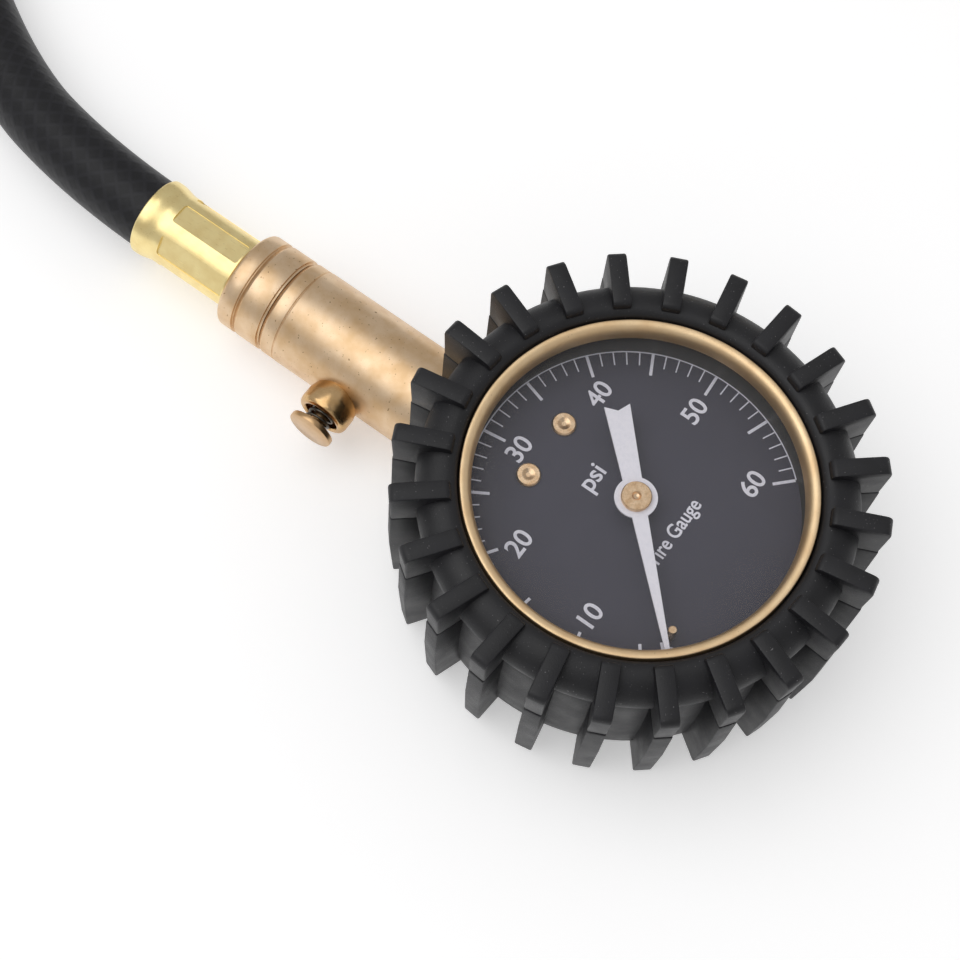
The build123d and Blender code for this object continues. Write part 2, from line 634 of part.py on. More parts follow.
with BuildPart() as valve_body:
    with BuildSketch(STEM_PLANE):
        with BuildLine():
            Polyline((THREAD_R, STEM_START), (STEM_R - 0.4, STEM_START), (STEM_R, STEM_START + 0.4),
                     (STEM_R, RING_C_START - 0.4), (RING_R, RING_C_START - 0.15),
                     (RING_R - 0.12, RING_C_START - 0.15), (RING_R - 0.12, RING_C_START),
                     (RING_R, RING_C_START + 0.1), (RING_R, SWIVEL_Y - 0.6), (RING_R - 0.45, SWIVEL_Y),
                     (BORE_R, SWIVEL_Y), (BORE_R, CLIP_Y + 0.5), (BORE_R + 0.4, CLIP_Y + 0.5),
                     (BORE_R + 0.4, CLIP_Y - 0.5), (BORE_R, CLIP_Y - 0.5), (BORE_R, SEAT_BORE),
                     (POCKET_R, SEAT_BORE), (POCKET_R, POCKET_START), (PASSAGE_R, POCKET_START),
                     (PASSAGE_R, 34.0), (THREAD_R, 34.0), close=True)
        make_face()
    revolve(axis=STEM_AXIS)
    with BuildSketch(BLEED_PLANE):
        with BuildLine():
            Polyline((0, 1.2), (BLEED_POCKET_R, 1.2), (BLEED_POCKET_R, 5.0), (BLEED_THREAD_R, 5.0),
                     (BLEED_THREAD_R, SPOT_FACE), (4.6, SPOT_FACE), (4.6, 9.5), (0, 9.5), close=True)
        make_face()
    revolve(axis=BLEED_AXIS, mode=Mode.SUBTRACT)
save(valve_body, "valve_body")

# ---- hold valve in the stem ----
hold_valve_seat = turned([(1.3, 55.6), (POCKET_R - 0.02, 55.6), (POCKET_R - 0.02, SEAT_BORE), (1.3, SEAT_BORE)],
                         STEM_PLANE, STEM_AXIS)
save(hold_valve_seat, "hold_valve_seat")
hold_valve_poppet = turned([(0, 52.6), (0.7, 52.6), (0.7, 54.6), (2.2, 54.6), (2.2, 55.2), (1.9, 55.55), (0, 55.55)],
                           STEM_PLANE, STEM_AXIS)
save(hold_valve_poppet, "hold_valve_poppet")


def coil_spring(centre, direction, length, radius, wire_r, pitch):
    """Round-wire coil from a centre point along a direction."""
    with BuildPart() as spring:
        with BuildLine() as path:
            Helix(pitch=pitch, height=length, radius=radius, center=centre, direction=direction)
        with BuildSketch(Plane(origin=path.line @ 0, z_dir=path.line % 0)):
            Circle(wire_r)
        sweep(path=path.line, is_frenet=True)
    return spring


hold_valve_spring = coil_spring((0, POCKET_START + 0.25, STEM_Z), (0, 1, 0), 2.5, 1.5, 0.2, 0.8)
save(hold_valve_spring, "hold_valve_spring")

# ---- bleeder: cup screwed into the stem's side, button, spring and seal ----
CUP_RIM = 12.15
BUTTON_IN = 14.05
BUTTON_OUT = 15.0
SHAFT_R = 1.15

bleeder_cup = turned([(SHAFT_R + 0.1, 5.1), (BLEED_THREAD_R - 0.02, 5.1), (BLEED_THREAD_R - 0.02, SPOT_FACE),
                      (4.05, SPOT_FACE), (4.35, 9.2), (4.42, 9.3), (4.42, CUP_RIM - 0.7), (4.25, CUP_RIM - 0.25),
                      (3.85, CUP_RIM), (3.15, CUP_RIM), (3.0, CUP_RIM - 0.15), (3.0, 9.4), (SHAFT_R + 0.1, 9.4)],
                     BLEED_PLANE, BLEED_AXIS)
save(bleeder_cup, "bleeder_cup")
bleeder_button = turned([(0, 3.2), (1.9, 3.2), (1.9, 3.9), (SHAFT_R, 3.9), (SHAFT_R, BUTTON_IN), (3.65, BUTTON_IN),
                         (3.8, BUTTON_IN + 0.15), (3.8, BUTTON_OUT - 0.2), (3.6, BUTTON_OUT), (0, BUTTON_OUT)],
                        BLEED_PLANE, BLEED_AXIS)
save(bleeder_button, "bleeder_button")
bleeder_seal = turned([(SHAFT_R, 3.92), (2.2, 3.92), (2.2, 4.9), (1.6, 5.05), (SHAFT_R, 5.05)],
                      BLEED_PLANE, BLEED_AXIS)
save(bleeder_seal, "bleeder_seal")
bleeder_spring = coil_spring((-9.65, BLEED_Y, STEM_Z), (-1, 0, 0), 4.12, 1.95, 0.22, 1.03)
save(bleeder_spring, "bleeder_spring")

# ---- swivel at the hose end: collar, nipple, seals and clip ----
NIPPLE_R = 3.4
GROOVE_R = RING_R - 0.47
SEAL_SPOTS = [58.6, 60.9]
SEAL_GROOVE_R = 4.1
SEAL_HALF = 0.7
SPIGOT_START = SEAT_BORE + 0.15

with BuildPart() as swivel_collar:
    with BuildSketch(STEM_PLANE):
        with BuildLine():
            Polyline((NIPPLE_R, SPIGOT_START), (SPIGOT_R, SPIGOT_START), (SPIGOT_R, COLLAR_START),
                     (GROOVE_R, COLLAR_START), (GROOVE_R, 64.55), (RING_R - 0.05, 64.55), (RING_R, 64.6),
                     (RING_R, 68.55), (GROOVE_R, 69.2), (GROOVE_R, 69.45), (RING_R - 0.05, 69.45), (RING_R, 69.5),
                     (RING_R, 71.8), (RING_R - 0.45, COLLAR_END), (NIPPLE_R, COLLAR_END), close=True)
        make_face()
    revolve(axis=STEM_AXIS)
    for seal_y in SEAL_SPOTS:
        with BuildSketch(STEM_PLANE):
            with Locations(((SEAL_GROOVE_R + SPIGOT_R + 1) / 2, seal_y)):
                Rectangle(SPIGOT_R + 1 - SEAL_GROOVE_R, 2 * SEAL_HALF)
        revolve(axis=STEM_AXIS, mode=Mode.SUBTRACT)
    with BuildSketch(STEM_PLANE):
        with Locations((5.5, CLIP_Y)):
            Rectangle(1.4, 0.9)
    revolve(axis=STEM_AXIS, mode=Mode.SUBTRACT)
save(swivel_collar, "swivel_collar")

with BuildPart() as swivel_o_rings:
    for seal_y in SEAL_SPOTS:
        with BuildSketch(STEM_PLANE):
            with Locations((4.68, seal_y)):
                Circle(0.55)
        revolve(axis=STEM_AXIS)
save(swivel_o_rings, "swivel_o_rings")

with BuildPart() as swivel_clip:
    with BuildSketch(STEM_PLANE):
        with Locations((5.3, CLIP_Y)):
            Rectangle(0.7, 0.7)
    revolve(axis=STEM_AXIS, revolution_arc=320)
save(swivel_clip, "swivel_clip")

BARB_R = 2.2
BARB_LIP = HOSE_BORE_R - 0.02
BARB_PITCH = 3.0
BARB_COUNT = 5
ROOT_LENGTH = 15.9      # length of hose that the ferrule squeezes


def hose_nipple_outline(flange_r, start, shoulder, bore_r):
    """Barbed nipple in a hose end's frame: start and shoulder are distances into the fitting."""
    points = [(bore_r, start), (flange_r, start), (flange_r, shoulder), (BARB_R, shoulder)]
    for k in range(BARB_COUNT):
        foot = ROOT_LENGTH - BARB_PITCH * k
        points += [(BARB_R, foot), (BARB_LIP, foot - 0.1), (BARB_R, foot - BARB_PITCH + 0.6)]
    points += [(BARB_R - 0.4, 1.5), (bore_r, 1.5)]
    return points


hose_nipple = turned(hose_nipple_outline(NIPPLE_R - 0.02, HOSE_START - SPIGOT_START, HOSE_START - COLLAR_END, 1.3),
                     GAUGE_END, axis_of(GAUGE_END))
save(hose_nipple, "hose_nipple")

# ---- crimped ferrules ----
FERRULE_R = 6.15
FLARE_R = 6.65
FLARE_OUT = 2.4         # how far the bell reaches past the hose's squeezed root
FERRULE_IN = 15.95
FLAT_APOTHEM = 5.76
FLAT_W = 3.7
FLAT_L = 12.7
FLAT_MID = 8.85
FLAT_PHASE = 35.0       # turn of the first flat, from the fitting's local x


def ferrule(plane):
    """Yellow brass sleeve with a bell at its mouth and long flats pressed round it."""
    with BuildPart() as sleeve:
        with BuildSketch(plane):
            with BuildLine():
                Polyline((HOSE_R + 0.05, 0), (HOSE_R + 0.05, -FLARE_OUT), (FLARE_R - 0.1, -FLARE_OUT),
                         (FLARE_R, -FLARE_OUT + 0.15), (FLARE_R, -FLARE_OUT + 0.9))
                Spline((FLARE_R, -FLARE_OUT + 0.9), (FERRULE_R, 1.6), tangents=((0, 1), (0, 1)))
                Polyline((FERRULE_R, 1.6), (FERRULE_R, FERRULE_IN - 0.5), (FERRULE_R - 0.35, FERRULE_IN),
                         (HOSE_ROOT_R + 0.02, FERRULE_IN), (HOSE_ROOT_R + 0.02, 0), (HOSE_R + 0.05, 0))
            make_face()
        revolve(axis=axis_of(plane))
        for k in range(FERRULE_FLATS):
            turn = math.radians(FLAT_PHASE + k * 360 / FERRULE_FLATS)
            out = plane.x_dir * math.cos(turn) + plane.z_dir * math.sin(turn)
            middle = plane.origin + plane.y_dir * FLAT_MID + out * FLAT_APOTHEM
            with BuildSketch(Plane(origin=middle, x_dir=plane.y_dir, z_dir=out)):
                RectangleRounded(FLAT_L, FLAT_W, 0.5)
            extrude(amount=1.5, mode=Mode.SUBTRACT)
    return sleeve


ferrule_gauge_end = ferrule(GAUGE_END)
save(ferrule_gauge_end, "ferrule_gauge_end")
ferrule_chuck_end = ferrule(CHUCK_END)
save(ferrule_chuck_end, "ferrule_chuck_end")


# ---- hose ----
def route_radii(points):
    """Largest arc at each corner: 0.45 of its shorter run over the tangent of half the turn."""
    radii = []
    for before, corner, after in zip(points, points[1:], points[2:]):
        run_in = Vector(*corner) - Vector(*before)
        run_out = Vector(*after) - Vector(*corner)
        half_turn = math.radians(run_in.get_angle(run_out)) / 2
        radii.append(0.45 * min(run_in.length, run_out.length) / math.tan(half_turn))
    return radii


HOSE_RADII = route_radii(HOSE_ROUTE)
print("hose radii", [round(r, 1) for r in HOSE_RADII])

with BuildPart() as hose:
    with BuildLine() as hose_line:
        FilletPolyline(*HOSE_ROUTE, radius=HOSE_RADII)
    with BuildSketch(Plane(origin=HOSE_ROUTE[0], x_dir=(1, 0, 0), z_dir=(0, 1, 0))):
        Circle(HOSE_R)
        Circle(HOSE_BORE_R, mode=Mode.SUBTRACT)
    sweep(path=hose_line.line)
    tube_volume = hose.part.volume
    for end in (GAUGE_END, CHUCK_END):
        with BuildSketch(Plane(origin=end.origin, x_dir=(1, 0, 0), z_dir=(0, -1, 0))):
            Circle(HOSE_ROOT_R)
            Circle(HOSE_BORE_R, mode=Mode.SUBTRACT)
        extrude(amount=ROOT_LENGTH)
HOSE_SECTION = math.pi * (HOSE_R ** 2 - HOSE_BORE_R ** 2)
HOSE_LENGTH = sum(edge.length for edge in hose_line.edges())
print("hose length", round(HOSE_LENGTH, 1))
print("tube volume over section times length", round(tube_volume / (HOSE_SECTION * HOSE_LENGTH), 5))
save(hose, "hose")

# ---- air chuck: nipple, swivelling body, seal, pin and cap ----
NOSE_TURN = 35.0        # the nose leans this far from the hose's line
CHUCK_START = 17.6      # the body's face, measured into the fitting
CHUCK_BEND = 29.0       # where the hose's line meets the nose's line
CHUCK_BODY_R = 7.6
NOSE_R = 7.2
NOSE_LENGTH = 13.0
CAP_R = 8.5
CAP_BORE_R = 4.0
CAP_LENGTH = 11.0
SEAL_T = 2.5
chuck_line = CHUCK_END.y_dir
bend_point = CHUCK_END.origin + chuck_line * CHUCK_BEND
nose_dir = Vector(*polar(1, -90 - NOSE_TURN), 0)
NOSE_PLANE = Plane(origin=bend_point, x_dir=(-nose_dir.Y, nose_dir.X, 0), z_dir=(0, 0, -1))
NOSE_AXIS = Axis(bend_point, nose_dir)
STUB_R = 4.2

chuck_nipple_outline = hose_nipple_outline(3.0, 24.5, 17.4, 1.3)
chuck_nipple = turned([(1.3, 24.5), (STUB_R, 24.5), (STUB_R, 22.6), (3.3, 22.6), (3.3, 21.2), (STUB_R, 21.2),
                       (STUB_R, 17.4), (5.9, 17.4), (5.9, 16.0), (BARB_R, 16.0)] + chuck_nipple_outline[4:],
                      CHUCK_END, axis_of(CHUCK_END))
save(chuck_nipple, "chuck_nipple")

with BuildPart() as chuck_o_ring:
    with BuildSketch(CHUCK_END):
        with Locations((3.8, 21.9)):
            Circle(0.45)
    revolve(axis=axis_of(CHUCK_END))
save(chuck_o_ring, "chuck_o_ring")

with BuildPart() as chuck_body:
    with BuildSketch(CHUCK_END):
        with BuildLine():
            Polyline((0, CHUCK_START), (CHUCK_BODY_R - 0.6, CHUCK_START), (CHUCK_BODY_R, CHUCK_START + 0.6),
                     (CHUCK_BODY_R, CHUCK_BEND), (0, CHUCK_BEND), close=True)
        make_face()
    revolve(axis=axis_of(CHUCK_END))
    with Locations(Location(bend_point)):
        Sphere(CHUCK_BODY_R)
    with BuildSketch(NOSE_PLANE):
        with BuildLine():
            Polyline((0, 0), (NOSE_R, 0), (NOSE_R, 6.2), (6.4, 6.5), (6.4, NOSE_LENGTH), (0, NOSE_LENGTH), close=True)
        make_face()
    revolve(axis=NOSE_AXIS)
    with BuildSketch(CHUCK_END):
        with BuildLine():
            Polyline((0, CHUCK_START - 1), (STUB_R + RUN_FIT, CHUCK_START - 1), (STUB_R + RUN_FIT, 24.6),
                     (PASSAGE_R, 24.6), (PASSAGE_R, CHUCK_BEND), (0, CHUCK_BEND + 1), close=True)
        make_face()
    revolve(axis=axis_of(CHUCK_END), mode=Mode.SUBTRACT)
    with BuildSketch(NOSE_PLANE):
        with BuildLine():
            Polyline((0, -1), (PASSAGE_R, 0), (PASSAGE_R, 8.0), (4.9, 8.0), (4.9, NOSE_LENGTH + 1),
                     (0, NOSE_LENGTH + 1), close=True)
        make_face()
    revolve(axis=NOSE_AXIS, mode=Mode.SUBTRACT)
save(chuck_body, "chuck_body")

with BuildPart() as chuck_cap:
    with BuildSketch(NOSE_PLANE):
        with BuildLine():
            Polyline((6.42, 6.7), (CAP_R - 0.5, 6.7), (CAP_R, 7.2), (CAP_R, 6.7 + CAP_LENGTH + 0.6),
                     (CAP_R - 1.4, 6.7 + CAP_LENGTH + 3.4), (CAP_BORE_R + 0.8, 6.7 + CAP_LENGTH + 3.4),
                     (CAP_BORE_R, 6.7 + CAP_LENGTH + 2.6), (CAP_BORE_R, NOSE_LENGTH + 0.05),
                     (6.42, NOSE_LENGTH + 0.05), close=True)
        make_face()
    revolve(axis=NOSE_AXIS)
save(chuck_cap, "chuck_cap")

chuck_seal = turned([(2.6, NOSE_LENGTH - SEAL_T), (4.88, NOSE_LENGTH - SEAL_T), (4.88, NOSE_LENGTH),
                     (2.6, NOSE_LENGTH)], NOSE_PLANE, NOSE_AXIS)
save(chuck_seal, "chuck_seal")

with BuildPart() as depressor_pin:
    with BuildSketch(NOSE_PLANE):
        with BuildLine():
            Polyline((0, 8.0), (4.85, 8.0), (4.85, 9.0), (0.9, 9.0), (0.9, 12.4), (0.6, 12.8), (0, 12.8), close=True)
        make_face()
    revolve(axis=NOSE_AXIS)
    with BuildSketch(Plane(origin=bend_point + nose_dir * 8.0, z_dir=nose_dir)):
        with PolarLocations(2.8, 4):
            Circle(0.7)
    extrude(amount=2, mode=Mode.SUBTRACT)
save(depressor_pin, "depressor_pin")
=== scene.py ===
"""Tire pressure gauge: every visible piece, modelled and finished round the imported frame."""

import logging
import math
from dataclasses import dataclass
from enum import Enum

import bmesh
import bpy
from mathutils import Matrix, Vector


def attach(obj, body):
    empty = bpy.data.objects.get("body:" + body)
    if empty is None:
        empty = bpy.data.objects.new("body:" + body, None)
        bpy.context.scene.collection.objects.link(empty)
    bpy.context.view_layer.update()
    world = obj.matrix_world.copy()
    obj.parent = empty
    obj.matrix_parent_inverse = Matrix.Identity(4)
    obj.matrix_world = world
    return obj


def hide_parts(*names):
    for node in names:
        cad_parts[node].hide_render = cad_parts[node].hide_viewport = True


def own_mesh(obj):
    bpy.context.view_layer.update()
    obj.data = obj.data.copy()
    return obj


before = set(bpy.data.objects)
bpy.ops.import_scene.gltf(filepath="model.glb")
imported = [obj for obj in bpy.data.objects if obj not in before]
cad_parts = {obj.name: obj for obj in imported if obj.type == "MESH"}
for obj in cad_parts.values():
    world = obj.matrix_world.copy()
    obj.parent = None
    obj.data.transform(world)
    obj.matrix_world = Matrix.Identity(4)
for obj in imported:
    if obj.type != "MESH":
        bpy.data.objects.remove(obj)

LOG = logging.getLogger("gauge")
MM = 0.001
Profile = list[tuple[float, float]]


# ---------------------------------------------------------------------------
# Shader helpers
# ---------------------------------------------------------------------------


def linear(code: str) -> tuple[float, float, float, float]:
    """Turn an sRGB hex colour into the linear colour that a shader takes.

    Args:
        code: six hex digits, such as "c8a070".

    Returns:
        Red, green, blue and an alpha of one.
    """
    channels = [int(code[i:i + 2], 16) / 255 for i in (0, 2, 4)]
    return (*[c / 12.92 if c <= 0.04045 else ((c + 0.055) / 1.055) ** 2.4 for c in channels], 1.0)


def add_node(tree: bpy.types.NodeTree, kind: str, settings: dict | None = None, links: dict | None = None):
    """Add one shader node with its settings and its links.

    Args:
        tree: the node tree that takes it.
        kind: the node's type name.
        settings: values by property name, socket name or socket number.
        links: for each input socket, by name or number, the output that feeds it.

    Returns:
        The new node.
    """
    node = tree.nodes.new(kind)
    for key, value in (settings or {}).items():
        if isinstance(key, str) and key in node.bl_rna.properties:
            setattr(node, key, value)
        else:
            node.inputs[key].default_value = value
    for key, source in (links or {}).items():
        tree.links.new(source, node.inputs[key])
    return node


class Pattern:
    """A material's node tree in the making, with the coordinates its patterns read."""

    def __init__(self, name: str, output: str = "Object") -> None:
        """Open a new material.

        Args:
            name: the material's name.
            output: the Texture Coordinate output that patterns read.
        """
        self.material = bpy.data.materials.new(name)
        self.material.use_nodes = True
        self.tree = self.material.node_tree
        self.tree.nodes.clear()
        self.where = add_node(self.tree, "ShaderNodeTexCoord").outputs[output]

    def add(self, kind: str, settings: dict | None = None, links: dict | None = None):
        """Add a node to this material."""
        return add_node(self.tree, kind, settings, links)

    def noise(self, size_mm: float, detail: float = 2.0, rough: float = 0.5, stretch=(1.0, 1.0, 1.0)):
        """Noise whose blotches measure a real size.

        Args:
            size_mm: width of one blotch.
            detail: octaves of finer noise.
            rough: strength of the finer octaves.
            stretch: scale along each axis, below one to draw the blotches out.

        Returns:
            The noise's value, 0 to 1.
        """
        mapping = self.add("ShaderNodeMapping", {"Scale": stretch}, {"Vector": self.where})
        settings = {"Scale": 1 / (size_mm * MM), "Detail": detail, "Roughness": rough}
        return self.add("ShaderNodeTexNoise", settings, {"Vector": mapping.outputs[0]}).outputs["Fac"]

    def ramp(self, source, low: float, high: float, low_to: float = 0.0, high_to: float = 1.0):
        """Map a value from one range to another, held at the ends.

        Args:
            source: the value to map.
            low: where the ramp starts.
            high: where the ramp ends.
            low_to: result at and below low.
            high_to: result at and above high.

        Returns:
            The mapped value.
        """
        settings = {"From Min": low, "From Max": high, "To Min": low_to, "To Max": high_to}
        return self.add("ShaderNodeMapRange", settings, {"Value": source}).outputs[0]

    def blend(self, amount, first, second):
        """Mix two colours, each a hex code or a socket, by a value.

        Args:
            amount: how much of the second shows.
            first: the colour at 0.
            second: the colour at 1.

        Returns:
            The mixed colour.
        """
        settings, links = {"data_type": "RGBA"}, {0: amount}
        for socket, colour in ((6, first), (7, second)):
            if isinstance(colour, str):
                settings[socket] = linear(colour)
            else:
                links[socket] = colour
        return self.add("ShaderNodeMix", settings, links).outputs[2]

    def relief(self, height, depth_mm: float, under=None):
        """Bump of a real depth.

        Args:
            height: the relief, 0 to 1.
            depth_mm: height of a full step.
            under: a coarser relief below this one.

        Returns:
            The normal for a shader.
        """
        links = {"Height": height}
        if under is not None:
            links["Normal"] = under
        return self.add("ShaderNodeBump", {"Strength": 1.0, "Distance": depth_mm * MM}, links).outputs[0]

    def close(self, settings: dict, links: dict) -> bpy.types.Material:
        """Add the surface shader and the output.

        Args:
            settings: fixed values of the Principled shader.
            links: patterned inputs of the Principled shader.

        Returns:
            The finished material.
        """
        shader = self.add("ShaderNodeBsdfPrincipled", settings, links)
        self.add("ShaderNodeOutputMaterial", None, {"Surface": shader.outputs[0]})
        return self.material


# ---------------------------------------------------------------------------
# Finishes
# ---------------------------------------------------------------------------


@dataclass(frozen=True)
class MouldedRubber:
    """EPDM rubber, moulded in a spark-eroded mould: matt black with a fine grain and a grey bloom.

    The seals and the case's black enamel are drawn the same way, with a shallower grain.
    """

    name: str = "moulded EPDM rubber"
    base: str = "131316"
    bloom: str = "1b1b1f"
    grain_mm: float = 0.2  # drawn twice as coarse as the real grain, so that it shows
    grain_depth_mm: float = 0.04
    roughness: float = 0.46

    def make(self) -> bpy.types.Material:
        """Build the material."""
        p = Pattern(self.name)
        grain = p.noise(self.grain_mm, 3.0, 0.6)
        cloud = p.noise(4.0, 3.0)
        specks = p.ramp(p.noise(0.26, 1.0), 0.73, 0.79)
        colour = p.blend(p.ramp(cloud, 0.35, 0.7), self.base, self.bloom)
        colour = p.blend(specks, colour, "6c6a6c")
        rough = p.ramp(cloud, 0.3, 0.7, self.roughness - 0.06, self.roughness + 0.08)
        return p.close({"IOR": 1.52, "Specular IOR Level": 0.42},
                       {"Base Color": colour, "Roughness": rough,
                        "Normal": p.relief(grain, self.grain_depth_mm)})


@dataclass(frozen=True)
class SatinBrass:
    """Brass, cast and bead blasted: a soft satin gloss over a fine grain, with a few darker pores."""

    name: str = "bead-blasted cast brass"
    base: str = "e8cdac"
    patina: str = "d6b48a"
    pore: str = "8f6c48"
    grain_mm: float = 0.15
    grain_depth_mm: float = 0.014
    roughness: float = 0.37
    pores: float = 1.0

    def make(self) -> bpy.types.Material:
        """Build the material."""
        p = Pattern(self.name)
        cloud = p.noise(3.2, 3.0)
        grain = p.noise(self.grain_mm, 3.0, 0.6)
        pores = p.ramp(p.noise(0.45, 2.0), 0.69, 0.75, 0.0, self.pores)
        colour = p.blend(p.ramp(cloud, 0.35, 0.7), self.base, self.patina)
        colour = p.blend(p.ramp(grain, 0.3, 0.75, 0.0, 0.35), colour, self.patina)
        colour = p.blend(pores, colour, self.pore)
        rough = p.ramp(cloud, 0.3, 0.7, self.roughness - 0.02, self.roughness + 0.03)
        return p.close({"Metallic": 1.0},
                       {"Base Color": colour, "Roughness": rough,
                        "Normal": p.relief(grain, self.grain_depth_mm)})


@dataclass(frozen=True)
class DrawnBrass:
    """Yellow brass tube, drawn and tumbled bright, with faint lines along the drawing direction."""

    name: str = "bright drawn brass"
    base: str = "fae6a8"
    shade: str = "f0d898"
    line_mm: float = 0.12
    roughness: float = 0.3

    def make(self) -> bpy.types.Material:
        """Build the material."""
        p = Pattern(self.name)
        lines = p.noise(self.line_mm, 2.0, 0.5, (1.0, 0.05, 1.0))
        cloud = p.noise(2.5, 2.0)
        colour = p.blend(p.ramp(cloud, 0.35, 0.7), self.base, self.shade)
        rough = p.ramp(lines, 0.3, 0.7, self.roughness - 0.03, self.roughness + 0.06)
        return p.close({"Metallic": 1.0},
                       {"Base Color": colour, "Roughness": rough, "Normal": p.relief(lines, 0.003)})


@dataclass(frozen=True)
class TurnedMetal:
    """Metal turned or drawn: bright, with tool marks so fine that only its gloss looks a little uneven."""

    name: str = "turned brass"
    base: str = "e9cba6"
    shade: str = "cfa77a"
    roughness: float = 0.28

    def make(self) -> bpy.types.Material:
        """Build the material."""
        p = Pattern(self.name)
        cloud = p.noise(0.9, 3.0)
        fine = p.noise(0.1, 2.0)
        colour = p.blend(p.ramp(cloud, 0.35, 0.7), self.base, self.shade)
        rough = p.ramp(fine, 0.3, 0.7, self.roughness - 0.04, self.roughness + 0.06)
        return p.close({"Metallic": 1.0},
                       {"Base Color": colour, "Roughness": rough, "Normal": p.relief(fine, 0.003)})


@dataclass(frozen=True)
class DialPaint:
    """Satin enamel, sprayed on the dial: dark slate with a very fine peel and a little dust."""

    name: str = "sprayed satin enamel"
    base: str = "3f3e4d"
    deep: str = "3a3947"
    dust: str = "77767c"

    def make(self) -> bpy.types.Material:
        """Build the material."""
        p = Pattern(self.name)
        cloud = p.noise(6.0, 2.0)
        peel = p.noise(0.3, 2.0)
        dust = p.ramp(p.noise(0.3, 1.0), 0.77, 0.82, 0.0, 0.6)
        colour = p.blend(dust, p.blend(cloud, self.base, self.deep), self.dust)
        return p.close({"IOR": 1.45, "Specular IOR Level": 0.35, "Roughness": 0.6},
                       {"Base Color": colour, "Normal": p.relief(peel, 0.001)})


@dataclass(frozen=True)
class Ink:
    """Screen-printed or sprayed opaque paint: one even colour, slightly uneven in gloss."""

    name: str = "screen-printed ink"
    base: str = "eeedf8"
    shade: str = "e2e1ee"
    roughness: float = 0.5

    def make(self) -> bpy.types.Material:
        """Build the material."""
        p = Pattern(self.name)
        film = p.noise(0.5, 3.0)
        colour = p.blend(p.ramp(film, 0.4, 0.7), self.base, self.shade)
        return p.close({"IOR": 1.45, "Roughness": self.roughness},
                       {"Base Color": colour, "Normal": p.relief(film, 0.003)})


@dataclass(frozen=True)
class ClearWindow:
    """Cast acrylic, polished: clear, with a soft reflection of the room."""

    name: str = "polished acrylic"

    def make(self) -> bpy.types.Material:
        """Build the material."""
        p = Pattern(self.name)
        shader = p.add("ShaderNodeBsdfPrincipled",
                       {"Base Color": linear("ffffff"), "Roughness": 0.03, "IOR": 1.49, "Alpha": 0.028})
        p.add("ShaderNodeOutputMaterial", None, {"Surface": shader.outputs[0]})
        return p.material


@dataclass(frozen=True)
class BraidedHose:
    """Rubber hose wrapped in cloth while it cured: the braid below shows as faint slanted ribs, with a
    painted highlight on their crests.
    """

    name: str = "wrapped EPDM hose"
    base: str = "161619"
    # lighter colour for the crests of the ribs: a painted highlight, the sheen the ribs catch
    crest_highlight: str = "1e1e22"
    lead_mm: float = 3.1  # distance along the hose between two ribs
    round_count: int = 12  # ribs that start round the hose
    depth_mm: float = 0.03

    def make(self) -> bpy.types.Material:
        """Build the material."""
        p = Pattern(self.name, "UV")
        waves = []
        for lean in (1.0, -1.0):
            axes = p.add("ShaderNodeSeparateXYZ", None, {0: p.where})
            along = p.add("ShaderNodeMath", {"operation": "MULTIPLY", 1: 1 / self.lead_mm},
                          {0: axes.outputs[1]})
            turn = p.add("ShaderNodeMath", {"operation": "MULTIPLY", 1: lean * self.round_count},
                         {0: axes.outputs[0]})
            phase = p.add("ShaderNodeMath", {"operation": "ADD"}, {0: along.outputs[0], 1: turn.outputs[0]})
            angle = p.add("ShaderNodeMath", {"operation": "MULTIPLY", 1: 2 * math.pi}, {0: phase.outputs[0]})
            waves.append(p.add("ShaderNodeMath", {"operation": "SINE"}, {0: angle.outputs[0]}).outputs[0])
        weave = p.add("ShaderNodeMath", {"operation": "MAXIMUM"}, {0: waves[0], 1: waves[1]}).outputs[0]
        ribs = p.ramp(weave, -0.2, 1.0)
        # the weave's crests take the lighter colour: a painted highlight along the ribs
        colour = p.blend(p.ramp(weave, 0.4, 1.0), self.base, self.crest_highlight)
        return p.close({"IOR": 1.52, "Specular IOR Level": 0.3, "Roughness": 0.45},
                       {"Base Color": colour, "Normal": p.relief(ribs, self.depth_mm)})


class Finish(Enum):
    """The finishes that the pieces choose from."""

    RUBBER = MouldedRubber()
    SEAL = MouldedRubber("moulded nitrile seal", "141414", "1e1e1f", 0.3, 0.01, 0.45)
    CASE = MouldedRubber("black enamelled steel", "0e0e0f", "161617", 0.3, 0.005, 0.4)
    BEZEL = SatinBrass("blasted brass bezel", "f8dcb2", "eccb9e", "b08c64", 0.2, 0.03, 0.44, 0.4)
    BODY = SatinBrass()
    CUP = SatinBrass("turned cup brass", "dcb988", "bc9460", "6e5030", 0.3, 0.004, 0.24, 0.4)
    BUTTON = SatinBrass("faced button brass", "d4b48c", "bf9a6e", "7c5c3a", 0.3, 0.004, 0.3, 0.3)
    FERRULE = DrawnBrass()
    TURNED = TurnedMetal()
    BRONZE = TurnedMetal("drawn phosphor bronze", "b87a4c", "8f5c38", 0.32)
    STEEL = TurnedMetal("turned steel", "a8a8ab", "8c8c90", 0.3)
    SPRING = TurnedMetal("drawn spring wire", "77746e", "55524c", 0.32)
    DIAL = DialPaint()
    INK = Ink()
    POINTER = Ink("sprayed white enamel", "f4f2fb", "ecebf5", 0.45)
    WINDOW = ClearWindow()
    HOSE = BraidedHose()


class Paintbox:
    """Makes each finish once and keeps it."""

    def __init__(self) -> None:
        """Start with no finishes made."""
        self.made: dict[Finish, bpy.types.Material] = {}

    def get(self, finish: Finish) -> bpy.types.Material:
        """The material of a finish, made at its first use."""
        if finish not in self.made:
            self.made[finish] = finish.value.make()
        return self.made[finish]

    def coat(self, node: str, finish: Finish) -> None:
        """Give a piece that comes from the frame its finish.

        Args:
            node: the piece's name in the frame.
            finish: what it is finished in.
        """
        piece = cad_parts[node]
        piece.data.materials.clear()
        piece.data.materials.append(self.get(finish))


PAINT = Paintbox()


